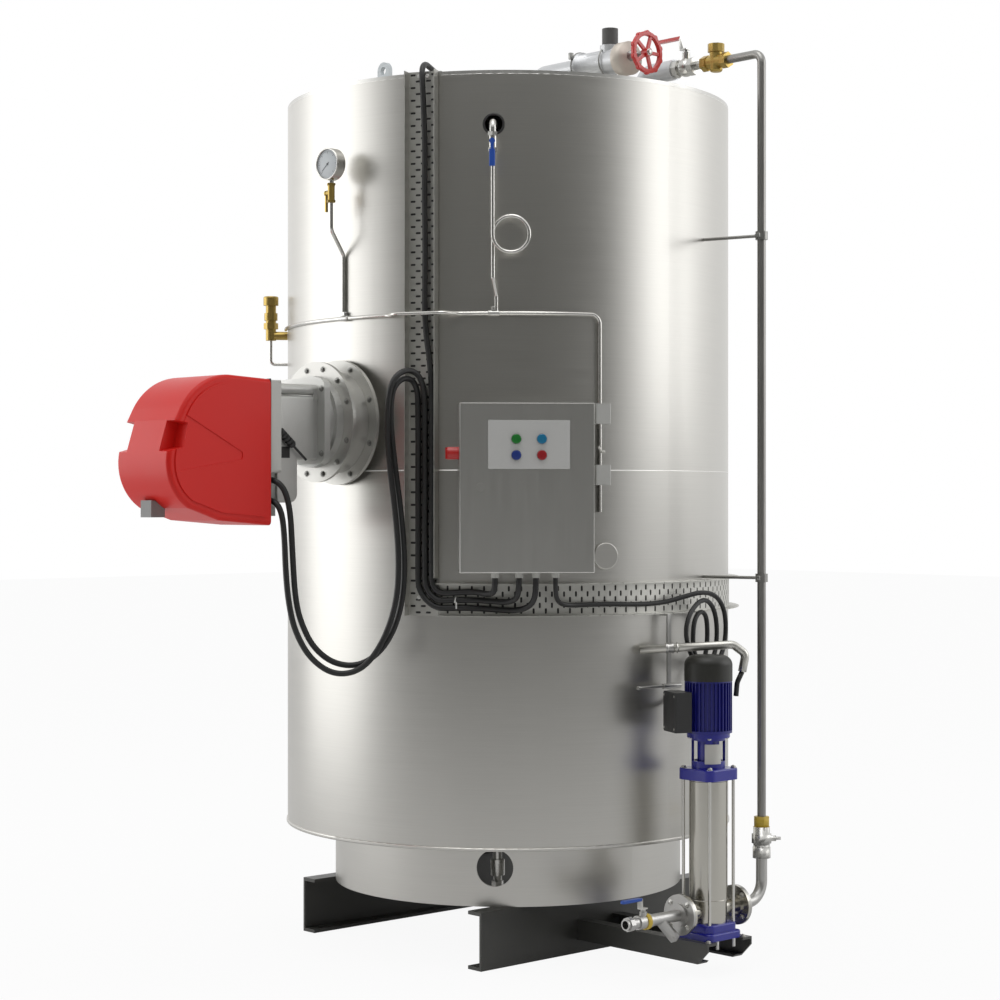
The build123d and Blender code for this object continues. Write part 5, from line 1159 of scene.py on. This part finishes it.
class BOILER_OT_burner(bpy.types.Operator):
    """Burner finishes, flange bolts and the joint behind the cover"""

    bl_idname = "boiler.burner"
    bl_label = "Burner"

    def execute(self, context):
        dressed(["burner_cover"], "red cover")
        zoned(
            "burner_backplate",
            [("latch", lambda centre: centre.y < LATCH_START), ("backplate", anywhere)],
        )
        dressed(["burner_housing"], "aluminium")
        dressed(["burner_flanges"], "flange")
        dressed(["burner_boot"], "rubber")
        self.bolts()
        self.cover_trim()
        return {"FINISHED"}

    def bolts(self):
        """Bolts of both flanges and of the square plate."""
        places = []
        for matrix in circle_places((JACKET_FLANGE, 0, 0), JACKET_FLANGE_BOLTS, 8, (1, 0, 0), 22.5):
            places.append(at_burner(matrix))
        turn = aim((1, 0, 0))
        for step in range(6):
            for side in (-1, 1):
                angle = math.radians(side * (21 + 28 * step))
                across = BURNER_FLANGE_BOLTS * math.cos(angle)
                up = BURNER_FLANGE_BOLTS * math.sin(angle)
                places.append(at_burner(Matrix.Translation((BURNER_FLANGE, across, up)) @ turn))
        for y in (-117 * MM, 117 * MM):
            for z in (-100 * MM, 98 * MM):
                places.append(at_burner(Matrix.Translation((SQUARE_PLATE, y, z)) @ turn))
        finished(spread("flange_bolts", bolt_model(FLANGE_BOLT), places), look("bolt steel"))

    def cover_trim(self):
        """Dark joint behind the cover, and a near-black block in the housing's damper slot as painted shade.
        """
        gasket = block((1103.5 * MM, -21 * MM, -91 * MM), (2.2 * MM, 268 * MM, 425 * MM), 0.8 * MM)
        # Near-black block standing in for the shade inside the damper slot
        slot = block((1040 * MM, 95.2 * MM, -98 * MM), (40 * MM, 1.4 * MM, 34 * MM), 0.6 * MM)
        trim = settled(joined("cover_gasket", [gasket, slot]), at_burner(Matrix.Identity(4)))
        finished(trim, look("painted shade and dark joint"))


# Pump


HEAD_TOP = 627 * MM
TIE_ROD_SIDE = 54 * MM
TIE_NUT = 8.5 * MM
MOTOR_BOLT_CIRCLE = 58 * MM
MOTOR_BOLT_SEAT = 721 * MM
MOTOR_BOLT = 6.5 * MM
GUARD_RADIUS = 53 * MM
GUARD_HEIGHTS = (642 * MM, 702 * MM)
GUARD_AZIMUTHS = (-60, -2)
GUARD_SHEET = 1.2 * MM
FLANGE_OUTER = 133.3 * MM
FLANGE_INNER = 117 * MM
FLANGE_CIRCLE = 48 * MM
PUMP_FLANGE_BOLT = 7 * MM
PORT_HEIGHT = 190 * MM
FAN_TOP = 970 * MM
TERMINAL_TURN = -25
TERMINAL_FRONT = -73.3 * MM
TERMINAL_MIDDLE = 801 * MM
BARREL_RADIUS = 59 * MM
BARREL_BAND_HEIGHTS = (225 * MM, 587 * MM)
OVERFLOW_DIRECTION = (196, 211, 16)


class BOILER_OT_pump(bpy.types.Operator):
    """Feed pump, its pipes and their fasteners"""

    bl_idname = "boiler.pump"
    bl_label = "Feed pump"

    def execute(self, context):
        dressed(["pump_foot", "pump_head"], "blue paint")
        dressed(["motor"], "motor blue")
        dressed(["pump_sleeve", "pump_base"], "barrel")
        dressed(["tie_rods"], "steel")
        dressed(["suction_line", "discharge_elbow", "overflow_bracket"], "cast stainless")
        dressed(["fan_cover"], "fan black")
        dressed(["terminal_box"], "terminal")
        zoned(
            "suction_lever",
            [("nickel", lambda centre: centre.y > -332 * MM), ("blue grip", anywhere)],
            body="suction_lever_body",
        )
        zoned(
            "discharge_valve",
            [("yellow", lambda centre: centre.z > 415 * MM), ("nickel", anywhere)],
        )
        zoned(
            "overflow_pipe",
            [("rubber", lambda centre: centre.z < 916 * MM), ("zinc", anywhere)],
        )
        self.rods()
        self.flanges()
        self.motor_details()
        self.bands()
        return {"FINISHED"}

    def rods(self):
        """Nuts on the tie rods, bolts under the motor, coupling guard and foot studs."""
        places = []
        for x, y in corners(TIE_ROD_SIDE):
            places.append(Matrix.Translation((PUMP_X + x, PUMP_Y + y, HEAD_TOP)))
        finished(spread("tie_nuts", bolt_model(TIE_NUT), places), look("nickel"))
        places = []
        for index in range(4):
            spot = polar(MOTOR_BOLT_CIRCLE, 45 + 90 * index, MOTOR_BOLT_SEAT) + Vector((PUMP_X, PUMP_Y, 0))
            places.append(Matrix.Translation(spot) @ Matrix.Rotation(math.pi, 4, "X"))
        finished(spread("motor_bolts", bolt_model(MOTOR_BOLT), places), look("nickel"))
        guard = sheet_arc((PUMP_X, PUMP_Y), GUARD_RADIUS, GUARD_HEIGHTS, GUARD_AZIMUTHS, GUARD_SHEET)
        finished(joined("coupling_guard", [guard]), look("bracket"))
        studs = []
        for y in (-49 * MM, 26 * MM):
            studs.append(disc((986 * MM, y, 95.5 * MM), 4.5 * MM, 25 * MM, sides=16, bevel=0.8 * MM))
        finished(joined("foot_studs", studs), look("tie"))

    def flanges(self):
        """Bolts through both pairs of pump flanges, with a head on each face."""
        places = []
        for side in (-1, 1):
            for reach, facing in ((FLANGE_OUTER, side), (FLANGE_INNER, -side)):
                centre = (PUMP_X, PUMP_Y + side * reach, PORT_HEIGHT)
                places += circle_places(centre, FLANGE_CIRCLE, 4, (0, facing, 0), 45)
        finished(spread("pump_flange_bolts", bolt_model(PUMP_FLANGE_BOLT), places), look("nickel"))

    def motor_details(self):
        """Fan guard, terminal box lid and its screws."""
        bars = []
        for index in range(6):
            bar = block((0, 0, 0), (60 * MM, 3.5 * MM, 3 * MM), bevel=0.8 * MM)
            turn = azimuth_matrix(30 * index)
            bars.append(settled(bar, Matrix.Translation((PUMP_X, PUMP_Y, FAN_TOP)) @ turn))
        for radius in (12 * MM, 22 * MM):
            bars.append(hoop((PUMP_X, PUMP_Y, FAN_TOP), radius, 1.8 * MM, steps=36, sides=8))
        finished(joined("fan_guard", bars), look("fan black"))
        box = Matrix.Translation((PUMP_X, PUMP_Y, 0)) @ azimuth_matrix(TERMINAL_TURN)
        places = []
        for x in (-40 * MM, 40 * MM):
            for z in (-50 * MM, 50 * MM):
                spot = (x, TERMINAL_FRONT - 56 * MM, TERMINAL_MIDDLE + z)
                places.append(box @ Matrix.Translation(spot) @ aim((0, -1, 0)))
        finished(spread("terminal_screws", screw_model(3.8 * MM), places), look("nickel"))
        lid_place = (0, TERMINAL_FRONT - 55.5 * MM, TERMINAL_MIDDLE)
        lid = block(lid_place, (94 * MM, 3 * MM, 116 * MM), bevel=1.2 * MM)
        finished(settled(joined("terminal_lid", [lid]), box), look("terminal"))

    def bands(self):
        """Yellow band on the suction valve, bands round the barrel and the overflow pipe's clip."""
        band = disc((PUMP_X, -290 * MM, PORT_HEIGHT), 24.5 * MM, 16 * MM, (0, 1, 0), 40, 2 * MM)
        finished(joined("suction_band", [band]), look("yellow"))
        rings = []
        for height in BARREL_BAND_HEIGHTS:
            rings.append(hoop((PUMP_X, PUMP_Y, height), BARREL_RADIUS, 1.2 * MM, steps=64, sides=8))
        finished(joined("barrel_rings", rings), look("barrel"))
        clips = []
        for centre in ((801 * MM, -69.7 * MM, 989.8 * MM), (820 * MM, -49.2 * MM, 991.4 * MM)):
            clips.append(hoop(centre, 14.5 * MM, 2.8 * MM, OVERFLOW_DIRECTION, steps=36, sides=10))
        finished(joined("overflow_u_bolt", clips), look("nickel"))


# Roof pipework


STEAM_LINE_Y = 47 * MM
VALVE_BAND_RADIUS = 48.2 * MM
VALVE_BANDS = (303 * MM, 431 * MM)
RISER_PLACE = (914 * MM, 240 * MM)
CLAMP_HEIGHTS = (1203 * MM, 2280 * MM)
WHEEL_HEIGHT = 2877 * MM


class BOILER_OT_roof_pipes(bpy.types.Operator):
    """Steam line, feed line and riser with their fasteners"""

    bl_idname = "boiler.roof_pipes"
    bl_label = "Roof pipes"

    def execute(self, context):
        dressed(["feed_riser", "riser_clamps"], "pipe")
        dressed(["roof_pipes"], "galvanised")
        zoned(
            "stop_valve",
            [
                ("pipe", lambda centre: centre.x > 530 * MM),
                ("bonnet", lambda centre: centre.x > 486.5 * MM),
                ("galvanised", anywhere),
            ],
        )
        dressed(["steam_outlet"], "dark primer")
        dressed(["handwheel"], "red paint")
        zoned(
            "feed_lever",
            [("nickel", lambda centre: centre.x > 558 * MM), ("red paint", anywhere)],
            body="feed_lever_body",
        )
        dressed(["check_valve"], "brass")
        dressed(["feed_valve"], "nickel")
        self.clamps()
        self.hub()
        return {"FINISHED"}

    def clamps(self):
        """Bands on the stop valve and the round clamps of the riser."""
        bands = []
        for x in VALVE_BANDS:
            centre = (x, STEAM_LINE_Y, ROOF_PIPE_HEIGHT)
            bands.append(hoop(centre, VALVE_BAND_RADIUS, 2.6 * MM, (1, 0, 0), steps=56, sides=10))
        bands.append(block((VALVE_BANDS[0], 0, 2902 * MM), (12 * MM, 14 * MM, 22 * MM), bevel=2 * MM))
        finished(joined("stop_valve_bands", bands), look("bolt steel"))
        reach = math.hypot(*RISER_PLACE)
        x, y = RISER_PLACE
        rings = []
        for height in CLAMP_HEIGHTS:
            rings.append(disc((reach, 0, height), 18.5 * MM, 16 * MM, sides=40, bevel=1.5 * MM))
            for side in (-1, 1):
                ear = (reach, side * 22 * MM, height)
                rings.append(block(ear, (12 * MM, 12 * MM, 14 * MM), bevel=1.5 * MM))
                nut = (reach - 8 * MM, side * 23 * MM, height)
                rings.append(disc(nut, 4.5 * MM, 6 * MM, (1, 0, 0), sides=6))
        rings = settled(joined("riser_clamp_rings", rings), azimuth_matrix(math.degrees(math.atan2(y, x))))
        finished(rings, look("bolt steel"))

    def hub(self):
        """Nut and washer that hold the handwheel on its stem."""
        nut = disc((613.5 * MM, STEAM_LINE_Y, WHEEL_HEIGHT), 9 * MM, 8 * MM, (1, 0, 0), 6, 1 * MM)
        washer = disc((611.5 * MM, STEAM_LINE_Y, WHEEL_HEIGHT), 11 * MM, 2 * MM, (1, 0, 0), 32)
        finished(joined("handwheel_nut", [nut, washer]), look("nickel"), body="handwheel_body")


PIECE_OPERATORS = (
    BOILER_OT_stage,
    BOILER_OT_cables,
    BOILER_OT_trays,
    BOILER_OT_shell,
    BOILER_OT_rails,
    BOILER_OT_cabinet,
    BOILER_OT_instruments,
    BOILER_OT_burner,
    BOILER_OT_pump,
    BOILER_OT_roof_pipes,
)


class BOILER_PT_panel(bpy.types.Panel):
    """Sizes and the operators that build the boiler's dress"""

    bl_label = "Boiler"
    bl_idname = "BOILER_PT_panel"
    bl_space_type = "VIEW_3D"
    bl_region_type = "UI"
    bl_category = "Boiler"

    def draw(self, context):
        layout = self.layout
        for settings in (context.scene.boiler_stage, context.scene.boiler_trays, context.scene.boiler_cables):
            box = layout.box()
            for name in settings.bl_rna.properties.keys():
                if name not in ("rna_type", "name"):
                    box.prop(settings, name)
        for operator in PIECE_OPERATORS:
            layout.operator(operator.bl_idname)


SETTINGS = (
    ("boiler_stage", BoilerStageSettings),
    ("boiler_trays", BoilerTraySettings),
    ("boiler_cables", BoilerCableSettings),
)


def register():
    for name, settings in SETTINGS:
        bpy.utils.register_class(settings)
        setattr(bpy.types.Scene, name, bpy.props.PointerProperty(type=settings))
    for operator in PIECE_OPERATORS:
        bpy.utils.register_class(operator)
    bpy.utils.register_class(BOILER_PT_panel)


def unregister():
    bpy.utils.unregister_class(BOILER_PT_panel)
    for operator in reversed(PIECE_OPERATORS):
        bpy.utils.unregister_class(operator)
    for name, settings in reversed(SETTINGS):
        delattr(bpy.types.Scene, name)
        bpy.utils.unregister_class(settings)


def main():
    register()
    cast_group()
    brushed_group()
    for operator in PIECE_OPERATORS:
        area, action = operator.bl_idname.split(".")
        getattr(getattr(bpy.ops, area), action)()
    corners = [*cad_box, *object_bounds()]
    [list(corner) for corner in corners]


if __name__ == "__main__":
    main()
